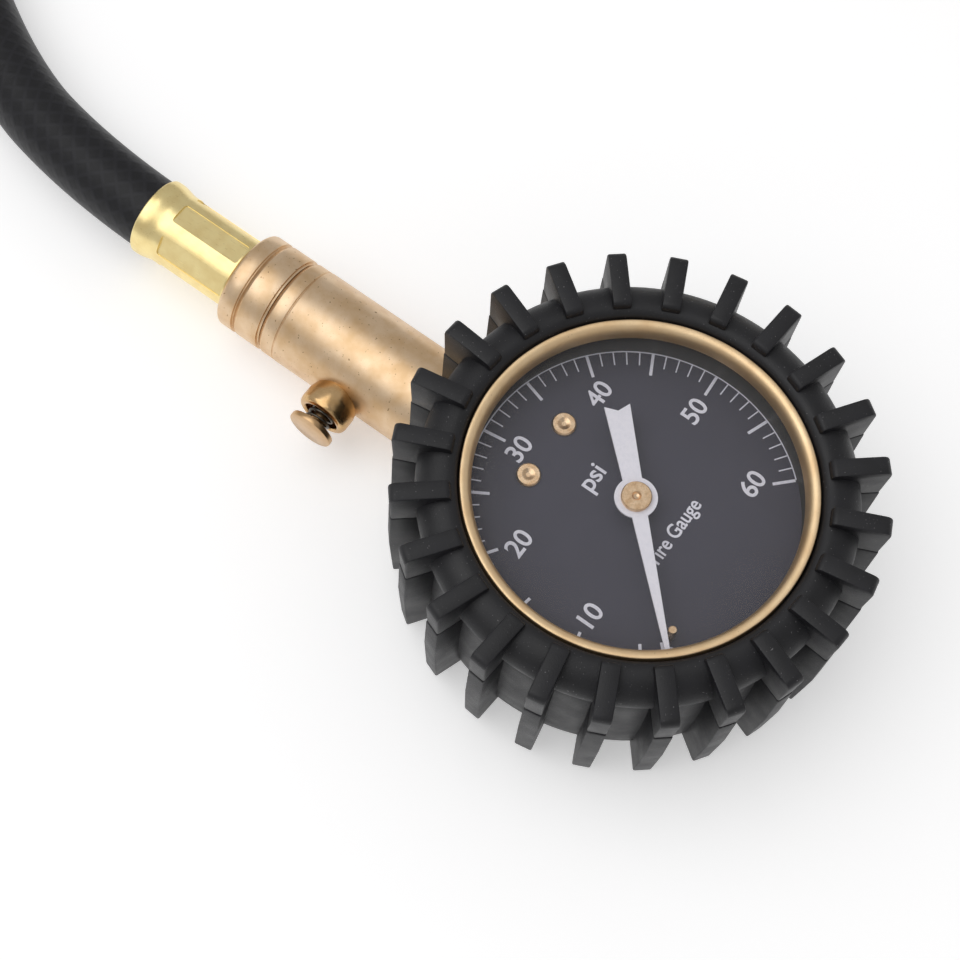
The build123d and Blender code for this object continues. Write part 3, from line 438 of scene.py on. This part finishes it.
# ---------------------------------------------------------------------------
# Modelling helpers: all shapes are made in millimetres
# ---------------------------------------------------------------------------


def placed(origin: tuple[float, float, float], along: tuple[float, float, float]) -> Matrix:
    """Place for a piece that is turned about its own Z.

    Args:
        origin: where its own zero comes to lie, in millimetres.
        along: the direction its own Z takes.

    Returns:
        The matrix from the piece's own frame to the gauge's.
    """
    return Matrix.Translation(origin) @ Vector(along).to_track_quat("Z", "Y").to_matrix().to_4x4()


def spun(bm: bmesh.types.BMesh, profile: Profile, steps: int = 96, closed: bool = True) -> None:
    """Spin a profile of (radius, height) about Z into a closed shell.

    Args:
        bm: the mesh that takes it.
        profile: the outline, in order.
        steps: facets round the turn.
        closed: whether the outline runs back to its start.
    """
    verts = [bm.verts.new((r, 0.0, z)) for r, z in profile]
    pairs = list(zip(verts, verts[1:])) + ([(verts[-1], verts[0])] if closed else [])
    edges = [bm.edges.new(pair) for pair in pairs if (pair[0].co.x, pair[1].co.x) != (0.0, 0.0)]
    bmesh.ops.spin(bm, geom=verts + edges, cent=(0, 0, 0), axis=(0, 0, 1), angle=2 * math.pi, steps=steps,
                   use_merge=True)
    bmesh.ops.remove_doubles(bm, verts=bm.verts, dist=0.0005)
    bmesh.ops.recalc_face_normals(bm, faces=bm.faces)


def soften(bm: bmesh.types.BMesh, width: float, segments: int = 2, sharper: float = 32.0) -> None:
    """Round the sharp edges of a mesh.

    Args:
        bm: the mesh.
        width: width of the rounding, in millimetres.
        segments: facets across it.
        sharper: only edges that turn by more than this many degrees.
    """
    limit = math.radians(sharper)
    edges = [e for e in bm.edges if len(e.link_faces) == 2 and e.calc_face_angle(0.0) > limit]
    bmesh.ops.bevel(bm, geom=edges, offset=width, offset_type="OFFSET", segments=segments, profile=0.5,
                    affect="EDGES", clamp_overlap=True, material=-1)


def slab(bm: bmesh.types.BMesh, outline: Profile, depth: float) -> list:
    """Make a slab from an outline in XZ, centred on the plane Y = 0.

    Args:
        bm: the mesh that takes it.
        outline: its corners as (x, z).
        depth: its size along Y.

    Returns:
        The slab's geometry.
    """
    verts = [bm.verts.new((x, -depth / 2, z)) for x, z in outline]
    face = bm.faces.new(verts)
    grown = bmesh.ops.extrude_face_region(bm, geom=[face])["geom"]
    moved = [g for g in grown if isinstance(g, bmesh.types.BMVert)]
    bmesh.ops.translate(bm, verts=moved, vec=(0, depth, 0))
    both = verts + moved
    faces = {f for v in both for f in v.link_faces}
    edges = {e for v in both for e in v.link_edges}
    bmesh.ops.recalc_face_normals(bm, faces=list(faces))
    return both + list(edges) + list(faces)


def coil(bm: bmesh.types.BMesh, radius: float, length: float, wire: float, pitch: float) -> None:
    """Wind a round wire about Z, from Z = 0 up.

    Args:
        bm: the mesh that takes it.
        radius: from the axis to the wire's middle.
        length: from the middle of the first turn to the middle of the last.
        wire: the wire's radius.
        pitch: height of one turn.
    """
    steps = 28
    count = int(length / pitch * steps)
    path = [Vector((radius * math.cos(a), radius * math.sin(a), pitch * a / (2 * math.pi)))
            for a in (2 * math.pi * k / steps for k in range(count + 1))]
    ring = bmesh.ops.create_circle(bm, segments=10, radius=wire)["verts"]
    heading = (path[1] - path[0]).normalized()
    turn = heading.to_track_quat("Z", "X").to_matrix().to_4x4()
    bmesh.ops.transform(bm, matrix=Matrix.Translation(path[0]) @ turn, verts=ring)
    edges = bm.edges[:]
    bm.faces.new(ring)
    for here, there, beyond in zip(path, path[1:], path[2:] + [path[-1] * 2 - path[-2]]):
        grown = bmesh.ops.extrude_edge_only(bm, edges=edges)["geom"]
        ring = [g for g in grown if isinstance(g, bmesh.types.BMVert)]
        onward = (beyond - here).normalized()
        bmesh.ops.translate(bm, verts=ring, vec=there - here)
        bmesh.ops.rotate(bm, verts=ring, cent=there, matrix=heading.rotation_difference(onward).to_matrix())
        heading = onward
        edges = [g for g in grown if isinstance(g, bmesh.types.BMEdge)
                 and all(v in ring for v in g.verts)]
    bmesh.ops.contextual_create(bm, geom=edges)
    bmesh.ops.recalc_face_normals(bm, faces=bm.faces)


@dataclass
class Piece:
    """A finished piece on its way from a mesh in millimetres to an object in the frame."""

    name: str
    body: str
    slot: str
    finish: Finish
    stands_for: tuple[str, ...] = ()
    sharp_deg: float = 38.0

    def place(self, bm: bmesh.types.BMesh, where: Matrix = Matrix()) -> bpy.types.Object:
        """Make the object, give it its finish, and hang it on its body.

        Args:
            bm: the shape, in millimetres, which is used up.
            where: the matrix from its own frame to the gauge's, in millimetres.

        Returns:
            The new object.
        """
        bm.transform(Matrix.Scale(MM, 4) @ where)
        bm.normal_update()
        limit = math.radians(self.sharp_deg)
        for face in bm.faces:
            face.smooth = True
        for edge in bm.edges:
            edge.smooth = edge.calc_face_angle(0.0) < limit
        mesh = bpy.data.meshes.new(self.name)
        bm.to_mesh(mesh)
        bm.free()
        return self.adopt(mesh)

    def adopt(self, mesh: bpy.types.Mesh) -> bpy.types.Object:
        """Hang a mesh that is already in the gauge's frame on its body."""
        mesh.materials.clear()
        mesh.materials.append(PAINT.get(self.finish))
        piece = bpy.data.objects.new(self.name, mesh)
        bpy.context.scene.collection.objects.link(piece)
        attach(piece, self.body)
        if self.stands_for:
            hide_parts(*self.stands_for)
        LOG.info("%s: %d faces on %s", self.name, len(mesh.polygons), self.body)
        return piece


# ---------------------------------------------------------------------------
# Stage: floor, light and camera
# ---------------------------------------------------------------------------


@dataclass
class Stage:
    """A pale floor, soft light from all round, and the camera."""

    eye: tuple[float, float, float] = (-104.87, -29.66, 295.94)
    right: tuple[float, float, float] = (0.58086, -0.81235, 0.05217)
    up: tuple[float, float, float] = (0.74774, 0.55780, 0.36024)
    lens_mm: float = 75.0
    floor_mm: float = 4000.0
    floor_glow: float = 0.36
    walls: float = 0.5
    dim_side: tuple[float, float, float] = (-0.25, -0.2, 0.947)
    dim_edge: float = 0.9  # cosine of the angle from dim_side where the dim patch starts
    dim_full: float = 0.985  # and where it is fully dim
    dim_share: float = 0.2
    lamp_at: tuple[float, float, float] = (-210, 300, 822)
    lamp_aim: tuple[float, float, float] = (0, 20, 10)
    lamp_mm: tuple[float, float] = (900, 900)
    lamp_watts: float = 3.3

    def camera(self) -> None:
        """Set up the camera: it looks along its own -Z."""
        right, up = Vector(self.right), Vector(self.up)
        back = right.cross(up)
        data = bpy.data.cameras.new("camera")
        data.lens = self.lens_mm
        data.sensor_width = 36.0
        data.clip_start = 0.01
        data.clip_end = 20.0
        camera = bpy.data.objects.new("camera", data)
        turn = Matrix((right, up, back)).transposed().to_4x4()
        camera.matrix_world = Matrix.Translation(Vector(self.eye) * MM) @ turn
        bpy.context.scene.collection.objects.link(camera)
        bpy.context.scene.camera = camera

    def floor(self) -> None:
        """Lay the floor, which glows a little, like a lit table."""
        bm = bmesh.new()
        bmesh.ops.create_grid(bm, x_segments=1, y_segments=1, size=self.floor_mm)
        bm.transform(Matrix.Scale(MM, 4))
        mesh = bpy.data.meshes.new("floor")
        bm.to_mesh(mesh)
        bm.free()
        p = Pattern("white paper")
        mesh.materials.append(p.close({"Base Color": linear("f4f4f4"), "Roughness": 0.9,
                                       "Emission Color": (1.0, 1.0, 1.0, 1.0),
                                       "Emission Strength": self.floor_glow}, {}))
        floor = bpy.data.objects.new("floor", mesh)
        bpy.context.scene.collection.objects.link(floor)

    def room(self) -> None:
        """Light the room from pale walls, with one dim patch overhead, where nothing is lit."""
        world = bpy.data.worlds.new("room")
        bpy.context.scene.world = world
        world.use_nodes = True
        tree = world.node_tree
        tree.nodes.clear()
        way = add_node(tree, "ShaderNodeTexCoord").outputs["Generated"]
        toward = add_node(tree, "ShaderNodeVectorMath", {"operation": "DOT_PRODUCT", 1: self.dim_side},
                          {0: way})
        levels = {"From Min": self.dim_edge, "From Max": self.dim_full, "To Min": self.walls,
                  "To Max": self.walls * self.dim_share}
        level = add_node(tree, "ShaderNodeMapRange", levels, {"Value": toward.outputs["Value"]})
        light = add_node(tree, "ShaderNodeBackground", {"Color": (1.0, 0.995, 1.0, 1.0)},
                         {"Strength": level.outputs[0]})
        add_node(tree, "ShaderNodeOutputWorld", None, {"Surface": light.outputs[0]})

    def softbox(self, name: str, at: tuple, aim: tuple, size: tuple, watts: float) -> None:
        """Hang one softbox.

        Args:
            name: the light's name.
            at: its place, in millimetres.
            aim: the point it faces.
            size: its width and height, in millimetres.
            watts: its power.
        """
        data = bpy.data.lights.new(name, "AREA")
        data.shape = "RECTANGLE"
        data.size, data.size_y = size[0] * MM, size[1] * MM
        data.energy = watts
        light = bpy.data.objects.new(name, data)
        turn = (Vector(at) - Vector(aim)).to_track_quat("Z", "Y").to_matrix().to_4x4()
        light.matrix_world = Matrix.Translation(Vector(at) * MM) @ turn
        bpy.context.scene.collection.objects.link(light)

    def build(self) -> None:
        """Set the whole stage."""
        bpy.context.scene.view_settings.view_transform = "Standard"
        self.camera()
        self.floor()
        self.room()
        self.softbox("overhead", self.lamp_at, self.lamp_aim, self.lamp_mm, self.lamp_watts)


# ---------------------------------------------------------------------------
# Guard
# ---------------------------------------------------------------------------


@dataclass
class Guard:
    """The rubber guard: two moulded halves with ribs all round, parted below the front lip."""

    rib_count: int = 24
    first_rib_deg: float = 85.0
    rib_width: float = 2.8
    seam_z: float = 25.4
    seam_gap: float = 0.28
    rib_front: float = 33.1
    rib_back: float = 2.7
    rib_r: float = 36.2
    rib_r_seam: float = 35.8
    rib_r_back: float = 35.2
    corner_r: float = 1.2
    inner_r: float = 0.7
    edge: float = 0.26

    def ribs(self, bm: bmesh.types.BMesh, outline: Profile,
             rounded: dict[tuple[float, float], float]) -> None:
        """Add the ribs of one half.

        Args:
            bm: the half's mesh.
            outline: one rib's corners as (radius, height).
            rounded: the corners that take a large rounding, each with its size.
        """
        one = bmesh.new()
        slab(one, outline, self.rib_width)
        for corner, size in rounded.items():
            edges = [e for e in one.edges
                     if all(math.dist((v.co.x, v.co.z), corner) < 0.01 for v in e.verts)]
            bmesh.ops.bevel(one, geom=edges, offset=size, segments=5, profile=0.5, affect="EDGES",
                            material=-1)
        soften(one, self.edge, 2, 40.0)
        bmesh.ops.rotate(one, verts=one.verts, cent=(0, 0, 0),
                         matrix=Matrix.Rotation(math.radians(self.first_rib_deg), 3, "Z"))
        pitch = 2 * math.pi / self.rib_count
        bmesh.ops.spin(one, geom=one.verts[:] + one.edges[:] + one.faces[:], cent=(0, 0, 0), axis=(0, 0, 1),
                       angle=pitch * (self.rib_count - 1), steps=self.rib_count - 1, use_duplicate=True)
        mesh = bpy.data.meshes.new("ribs")
        one.to_mesh(mesh)
        one.free()
        bm.from_mesh(mesh)
        bpy.data.meshes.remove(mesh)

    def front(self) -> None:
        """Build the front half: a rolled shoulder and a lip that holds the bezel."""
        bottom = self.seam_z + self.seam_gap / 2
        bm = bmesh.new()
        shoulder = [(31.2, bottom), (31.65, 26.3), (32.0, 27.1), (32.22, 27.9), (32.3, 28.5), (32.2, 29.1),
                    (31.9, 29.7), (31.4, 30.3), (30.7, 30.9), (29.9, 31.35), (29.0, 31.68), (28.1, 31.8)]
        lip = [(27.4, 31.75), (26.85, 31.5), (26.45, 31.1), (26.24, 30.5), (26.2, 27.0)]
        spun(bm, [(25.62, bottom)] + shoulder + lip + [(25.62, 27.0)], 144)
        soften(bm, 0.12, 2, 50.0)
        outline = [(27.9, bottom), (self.rib_r_seam, bottom), (self.rib_r, self.rib_front),
                   (27.45, self.rib_front), (27.2, 31.5), (27.9, 31.0)]
        self.ribs(bm, outline, {outline[2]: self.corner_r, outline[3]: self.inner_r})
        Piece("guard_front_rubber", "gauge", "guard_rubber", Finish.RUBBER, ("guard_front",)).place(bm)

    def back(self) -> None:
        """Build the back half: a barrel with a flat back, whose wall the stem's mesh runs through."""
        top = self.seam_z - self.seam_gap / 2
        bm = bmesh.new()
        belly = [(26.5, 0.0), (29.4, 2.2), (30.5, 3.3), (31.0, 4.4), (31.35, 8.0), (31.6, 13.0), (31.6, 18.0),
                 (31.45, 22.5), (31.3, top)]
        spun(bm, [(0.0, 0.0)] + belly + [(29.0, top), (29.0, top + 0.3), (25.62, top + 0.3), (25.62, 3.2),
                                         (0.0, 3.2)], 144, closed=False)
        soften(bm, 0.15, 2, 50.0)
        outline = [(29.5, self.rib_back), (self.rib_r_back, self.rib_back), (35.6, 9.0), (35.95, 15.0),
                   (35.95, top), (29.5, top)]
        self.ribs(bm, outline, {})
        Piece("guard_back_rubber", "gauge", "guard_rubber", Finish.RUBBER, ("guard_back",)).place(bm)

    def build(self) -> None:
        """Build both halves."""
        self.front()
        self.back()


# ---------------------------------------------------------------------------
# Instrument: bezel, window, dial, pointer
# ---------------------------------------------------------------------------


@dataclass
class Dial:
    """The printed dial with its screws, the stop pin and the pointer."""

    top: float = 22.0
    print_mm: float = 0.03
    first_deg: float = -135.0
    five_deg: float = -126.5
    per_psi: float = 4.74
    last_psi: int = 60
    tick_in: float = 21.185
    tick_out: float = 24.7
    minor_in: float = 22.65
    arc_r: float = 24.82
    major_mm: float = 0.46
    minor_mm: float = 0.2
    arc_half_mm: float = 0.09
    zero_mark: tuple[float, float] = (22.6, -137.8)  # radius, and degrees clockwise from 12 o'clock
    zero_ring: tuple[float, float] = (0.34, 0.5)
    numeral_mm: float = 3.0
    # each numeral and the middle of its place on the dial, set one by one
    numerals: tuple[tuple[int, float, float], ...] = (
        (10, -18.0, -4.6), (20, -14.9, 10.0), (30, -2.8, 18.5),
        (40, 11.7, 14.0), (50, 18.0, 0.9), (60, 13.4, -12.5))

    def at(self, radius: float, clockwise: float) -> tuple[float, float]:
        """Point at a radius and an angle clockwise from 12 o'clock."""
        a = math.radians(90 - clockwise)
        return radius * math.cos(a), radius * math.sin(a)

    def degrees(self, psi: float) -> float:
        """Where a pressure stands on the scale, clockwise from 12 o'clock."""
        return self.first_deg if psi == 0 else self.five_deg + (psi - 5) * self.per_psi

    def band(self, inner: float, outer: float) -> Profile:
        """Section of a printed ring between two radii."""
        high = self.top + self.print_mm
        return [(inner, self.top), (outer, self.top), (outer, high), (inner, high)]

    def line(self, bm: bmesh.types.BMesh, psi: float, inner: float, outer: float, width: float) -> None:
        """Print one radial line.

        Args:
            bm: the print's mesh.
            psi: where on the scale.
            inner: its inner radius.
            outer: its outer radius.
            width: its width.
        """
        made = bmesh.ops.create_cube(bm, size=1.0)["verts"]
        bmesh.ops.scale(bm, verts=made, vec=(width, outer - inner, self.print_mm))
        bmesh.ops.translate(bm, verts=made, vec=(0, (inner + outer) / 2, self.top + self.print_mm / 2))
        bmesh.ops.rotate(bm, verts=made, cent=(0, 0, 0),
                         matrix=Matrix.Rotation(math.radians(-self.degrees(psi)), 3, "Z"))

    def words(self, bm: bmesh.types.BMesh, text: str, centre: tuple[float, float], height: float,
              weight: float = 0.02, squeeze: float = 1.0) -> None:
        """Print a word.

        Args:
            bm: the print's mesh.
            text: what it says.
            centre: the middle of the word, on the dial.
            height: height of a capital letter.
            weight: how much each stroke is thickened, as a share of the height.
            squeeze: width of the letters over their usual width.
        """
        curve = bpy.data.curves.new("word", "FONT")
        curve.body = text
        curve.size = height / 0.73
        curve.offset = weight * height
        curve.align_x, curve.align_y = "CENTER", "CENTER"
        curve.extrude = self.print_mm / 2
        maker = bpy.data.objects.new("word", curve)
        mesh = bpy.data.meshes.new_from_object(maker)
        mesh.transform(Matrix.Translation((*centre, self.top + self.print_mm / 2)) @
                       Matrix.Diagonal((squeeze, 1, 1, 1)))
        bm.from_mesh(mesh)
        bpy.data.objects.remove(maker)
        bpy.data.meshes.remove(mesh)
        bpy.data.curves.remove(curve)

    def printing(self) -> None:
        """Print the scale, the numerals and the plain words."""
        bm = bmesh.new()
        for psi in range(0, self.last_psi + 1):
            if 0 < psi < 5:
                continue
            major = psi % 5 == 0
            self.line(bm, psi, self.tick_in if major else self.minor_in, self.tick_out,
                      self.major_mm if major else self.minor_mm)
        arc = bmesh.new()
        spun(arc, self.band(self.arc_r - self.arc_half_mm, self.arc_r + self.arc_half_mm), 180)
        self.cut_arc(arc)
        ring = bmesh.new()
        spun(ring, self.band(*self.zero_ring), 24)
        bmesh.ops.translate(ring, verts=ring.verts, vec=(*self.at(*self.zero_mark), 0))
        for extra in (arc, ring):
            mesh = bpy.data.meshes.new("extra")
            extra.to_mesh(mesh)
            extra.free()
            bm.from_mesh(mesh)
            bpy.data.meshes.remove(mesh)
        for psi, x, y in self.numerals:
            self.words(bm, str(psi), (x, y), self.numeral_mm)
        self.words(bm, "psi", (0.0, 7.3), 2.9)
        self.words(bm, "Tire Gauge", (0.0, -7.2), 2.3, 0.02, 0.86)
        Piece("dial_printing", "gauge", "pointer_paint", Finish.INK).place(bm)

    def cut_arc(self, bm: bmesh.types.BMesh) -> None:
        """Take away the arc's faces outside the scale, from 60 round to 5."""
        start, end = self.degrees(5), self.degrees(self.last_psi)
        middles = {f: f.calc_center_median() for f in bm.faces}
        spare = [f for f, mid in middles.items()
                 if not start <= math.degrees(math.atan2(mid.x, mid.y)) <= end]
        bmesh.ops.delete(bm, geom=spare, context="FACES")
        bmesh.ops.holes_fill(bm, edges=[e for e in bm.edges if e.is_boundary])

    def build(self) -> None:
        """Finish the dial and its fittings."""
        self.printing()
        PAINT.coat("dial_plate", Finish.DIAL)
        PAINT.coat("pointer", Finish.POINTER)
        for node in ("pointer_hub", "dial_screws", "dial_posts", "stop_pin"):
            PAINT.coat(node, Finish.TURNED)


@dataclass
class Head:
    """The case with its bezel, window and gasket."""

    bezel_r: float = 26.0
    bezel_top: float = 31.0
    bore_r: float = 24.2
    shelf_z: float = 28.2

    def bezel(self) -> None:
        """Turn the bezel: a broken outer edge, and a dished face that rolls down into the bore."""
        r, top, bore = self.bezel_r, self.bezel_top, self.bore_r
        bm = bmesh.new()
        spun(bm, [(25.6, 27.2), (r, 27.2), (r, top - 0.2), (r - 0.07, top - 0.06), (r - 0.2, top),
                  (r - 0.9, top - 0.12), (r - 1.3, top - 0.4), (bore + 0.2, top - 1.0),
                  (bore + 0.06, top - 1.5), (bore, top - 2.1), (bore, self.shelf_z),
                  (25.6, self.shelf_z)], 180)
        Piece("bezel_turned", "gauge", "bezel_brass", Finish.BEZEL, ("bezel_ring",), 50.0).place(bm)

    def build(self) -> None:
        """Finish the case, the bezel ring and the window."""
        self.bezel()
        PAINT.coat("case", Finish.CASE)
        PAINT.coat("window", Finish.WINDOW)
        PAINT.coat("window_gasket", Finish.SEAL)


@dataclass
class Movement:
    """The works behind the dial, with the hidden seals and small pieces of the stem and the chuck."""

    def build(self) -> None:
        """Finish the works."""
        for node in ("movement_back_plate", "movement_front_plate", "movement_pillars", "sector_gear", "link",
                     "tube_end_cap", "hold_valve_poppet"):
            PAINT.coat(node, Finish.TURNED)
        for node in ("movement_screws", "link_pin_tube", "case_screws", "pinion_arbor", "sector_arbor",
                     "link_pin_sector"):
            PAINT.coat(node, Finish.STEEL)
        for node in ("hairspring", "swivel_clip"):
            PAINT.coat(node, Finish.SPRING)
        for node in ("hold_valve_seat", "bleeder_seal", "swivel_o_rings", "chuck_o_ring", "chuck_seal"):
            PAINT.coat(node, Finish.SEAL)
        PAINT.coat("bourdon_tube", Finish.BRONZE)
        PAINT.coat("socket_block", Finish.BODY)


@dataclass
class Stem:
    """The brass stem with its side bleeder and the swivel."""

    axis_z: float = 9.2
    body_r: float = 8.3
    ring_r: float = 8.25
    groove_r: float = 7.78
    bleeder_y: float = 48.7
    bleeder_root: float = 9.43  # where the bleeder's spring sits, from the stem's axis
    bleeder_wire_r: float = 0.22
    hold_root: float = 51.65  # where the hold valve's spring sits, along the stem
    hold_wire_r: float = 0.2

    def turned(self, name: str, profile: Profile, body: str, stands_for: str, edge: float) -> None:
        """Turn one piece about the stem's axis.

        Args:
            name: the piece's name.
            profile: its closed outline as (radius, distance along the stem).
            body: the body it rides on.
            stands_for: the frame's piece that it replaces.
            edge: width of its broken edges.
        """
        bm = bmesh.new()
        spun(bm, profile, 128)
        soften(bm, edge, 2, 24.0)
        Piece(name, body, "body_brass", Finish.BODY, (stands_for,)).place(
            bm, placed((0.0, 0.0, self.axis_z), (0.0, 1.0, 0.0)))

    def body(self) -> None:
        """The cast body, with one turned ring behind a fine line, and a wide chamfer at its end."""
        r, ring = self.body_r, self.ring_r
        self.turned("stem_body", [(5.05, 26.4), (r - 0.4, 26.4), (r, 26.8), (r, 60.9), (ring - 0.04, 61.12),
                                  (ring - 0.16, 61.15), (ring - 0.16, 61.3), (ring, 61.34), (ring, 63.5),
                                  (self.groove_r, 64.1), (5.3, 64.1), (5.3, 57.0), (3.2, 57.0), (3.2, 51.6),
                                  (1.4, 51.6), (1.4, 34.0), (5.05, 34.0)], "gauge", "valve_body", 0.06)

    def collar(self) -> None:
        """The swivel's collar: two rings, each with a square shoulder in front of a sloped one."""
        ring, low = self.ring_r, self.groove_r
        self.turned("stem_collar", [(3.4, 57.15), (5.25, 57.15), (5.25, 64.2), (low, 64.2), (low, 64.55),
                                    (ring, 64.55), (ring, 68.55), (low, 69.2), (low, 69.45), (ring, 69.45),
                                    (ring, 71.75), (ring - 0.15, 72.1), (ring - 0.5, 72.4), (3.4, 72.4)],
                    "hose_end", "swivel_collar", 0.07)

    def bleeder(self) -> None:
        """The bleeder: a cup with a tapered root and a rolled rim, and a flat button on a thin stem."""
        where = placed((0.0, self.bleeder_y, self.axis_z), (-1.0, 0.0, 0.0))
        cup = bmesh.new()
        spun(cup, [(1.25, 5.1), (3.28, 5.1), (3.28, 7.0), (3.75, 7.0), (3.95, 8.2), (4.25, 9.25), (4.28, 9.5),
                   (4.28, 11.2), (4.2, 11.6), (4.0, 11.93), (3.7, 12.1), (3.35, 12.15), (3.1, 12.08),
                   (3.0, 11.9), (3.0, 9.4), (1.25, 9.4)], 72)
        Piece("bleeder_cup_turned", "gauge", "body_brass", Finish.CUP, ("bleeder_cup",),
              28.0).place(cup, where)
        button = bmesh.new()
        spun(button, [(0.0, 3.2), (1.9, 3.2), (1.9, 3.9), (1.15, 3.9), (1.15, 14.05), (3.6, 14.05),
                      (3.76, 14.12), (3.8, 14.25), (3.8, 14.8), (3.74, 14.94), (3.6, 15.0), (0.0, 15.0)],
             72, closed=False)
        Piece("bleeder_button_turned", "bleeder", "body_brass", Finish.BUTTON, ("bleeder_button",),
              28.0).place(button, where)

    def springs(self) -> None:
        """Wind the bleeder's and the hold valve's springs, each with a mesh of its own."""
        bm = bmesh.new()
        coil(bm, 1.95, 4.1, self.bleeder_wire_r, 1.03)
        where = placed((-self.bleeder_root - self.bleeder_wire_r, self.bleeder_y, self.axis_z),
                       (-1.0, 0.0, 0.0))
        spring = Piece("bleeder_spring_wound", "gauge", "spring_steel", Finish.SPRING,
                       ("bleeder_spring",)).place(bm, where)
        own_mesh(spring)
        bm = bmesh.new()
        coil(bm, 1.5, 2.5, self.hold_wire_r, 0.8)
        where = placed((0.0, self.hold_root + self.hold_wire_r, self.axis_z), (0.0, 1.0, 0.0))
        spring = Piece("hold_spring_wound", "gauge", "spring_steel", Finish.SPRING,
                       ("hold_valve_spring",)).place(bm, where)
        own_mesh(spring)

    def build(self) -> None:
        """Build the stem's pieces and wind its springs."""
        self.body()
        self.collar()
        self.bleeder()
        PAINT.coat("hose_nipple", Finish.BODY)
        self.springs()


@dataclass
class AirChuck:
    """The chuck on the hose's far end."""

    def build(self) -> None:
        """Finish the chuck's pieces."""
        for node in ("chuck_body", "chuck_cap", "chuck_nipple", "depressor_pin"):
            PAINT.coat(node, Finish.BODY)


@dataclass
class Hose:
    """The hose with a ferrule at each end, on its route in millimetres."""

    diameter: float = 12.0
    sides: int = 40
    route: tuple[tuple[float, float, float], ...] = (
        (0.0, 88.5, 9.2), (0.0, 104.0, 9.2), (6.0, 129.0, 7.0), (29.0, 164.0, 6.1), (70.0, 181.0, 6.1),
        (113.0, 172.0, 6.1), (142.0, 142.0, 6.4), (151.0, 101.0, 8.5), (151.0, 61.0, 8.5))

    def centreline(self) -> list[Vector]:
        """Read the hose's middle line from its NURBS spline, in metres."""
        curve = bpy.data.curves.new("hose_route", "CURVE")
        curve.dimensions = "3D"
        curve.resolution_u = 24
        spline = curve.splines.new("NURBS")
        spline.points.add(len(self.route) - 1)
        for point, spot in zip(spline.points, self.route):
            point.co = (*(Vector(spot) * MM), 1.0)
        spline.order_u = 3
        spline.use_endpoint_u = True
        maker = bpy.data.objects.new("hose_route", curve)
        mesh = bpy.data.meshes.new_from_object(maker)
        points = [v.co.copy() for v in mesh.vertices]
        bpy.data.objects.remove(maker)
        bpy.data.meshes.remove(mesh)
        bpy.data.curves.remove(curve)
        return points

    def tube(self, path: list[Vector]) -> bpy.types.Mesh:
        """Sweep the hose's round section along its middle line.

        Args:
            path: the middle line, in metres.

        Returns:
            The tube, with a UV map of turns round it by millimetres along it.
        """
        bm = bmesh.new()
        turn = bm.verts.layers.float.new("turn")
        along = bm.verts.layers.float.new("along")
        ring = bmesh.ops.create_circle(bm, segments=self.sides, radius=self.diameter / 2 * MM)["verts"]
        for index, vert in enumerate(ring):
            vert[turn] = index / self.sides
        start = (path[1] - path[0]).to_track_quat("Z", "X").to_matrix().to_4x4()
        bmesh.ops.transform(bm, matrix=Matrix.Translation(path[0]) @ start, verts=ring)
        edges = bm.edges[:]
        travelled, facing = 0.0, (path[1] - path[0]).normalized()
        bm.faces.new(ring)
        for here, there, beyond in zip(path, path[1:], path[2:] + [path[-1] * 2 - path[-2]]):
            grown = bmesh.ops.extrude_edge_only(bm, edges=edges)["geom"]
            ring = [g for g in grown if isinstance(g, bmesh.types.BMVert)]
            heading = (beyond - here).normalized()
            bmesh.ops.translate(bm, verts=ring, vec=there - here)
            bmesh.ops.rotate(bm, verts=ring, cent=there,
                             matrix=facing.rotation_difference(heading).to_matrix())
            facing = heading
            travelled += (there - here).length / MM
            for vert in ring:
                vert[along] = travelled
            edges = [g for g in grown
                     if isinstance(g, bmesh.types.BMEdge) and all(v in ring for v in g.verts)]
        bmesh.ops.contextual_create(bm, geom=edges)
        bmesh.ops.recalc_face_normals(bm, faces=bm.faces)
        uv = bm.loops.layers.uv.new("weave")
        for face in bm.faces:
            face.smooth = len(face.verts) == 4
            wraps = face.smooth and max(v[turn] for v in face.verts) > 0.9
            for loop in face.loops:
                loop[uv].uv = (1.0 if wraps and loop.vert[turn] < 0.1 else loop.vert[turn], loop.vert[along])
        mesh = bpy.data.meshes.new("hose_tube")
        bm.to_mesh(mesh)
        bm.free()
        return mesh

    def build(self) -> None:
        """Build the hose and finish the ferrules."""
        path = self.centreline()
        mesh = self.tube(path)
        piece = Piece("hose_tube", "hose_end", "hose_rubber", Finish.HOSE, ("hose",)).adopt(mesh)
        ends = [bpy.data.objects["stem_collar"]]
        ends += [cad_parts[n] for n in (
            "swivel_o_rings", "swivel_clip", "hose_nipple", "ferrule_gauge_end", "ferrule_chuck_end",
            "chuck_nipple", "chuck_body", "chuck_o_ring", "chuck_cap", "chuck_seal", "depressor_pin")]
        for node in ("ferrule_gauge_end", "ferrule_chuck_end"):
            PAINT.coat(node, Finish.FERRULE)


def main() -> None:
    """Build the stage and the gauge, piece by piece."""
    logging.basicConfig(level=logging.INFO, format="%(name)s %(message)s")
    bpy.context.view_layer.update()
    for assembly in (Stage(), Guard(), Head(), Dial(), Movement(), Stem(), AirChuck(), Hose()):
        assembly.build()
        LOG.info("%s is built", type(assembly).__name__)


if __name__ == "__main__":
    main()
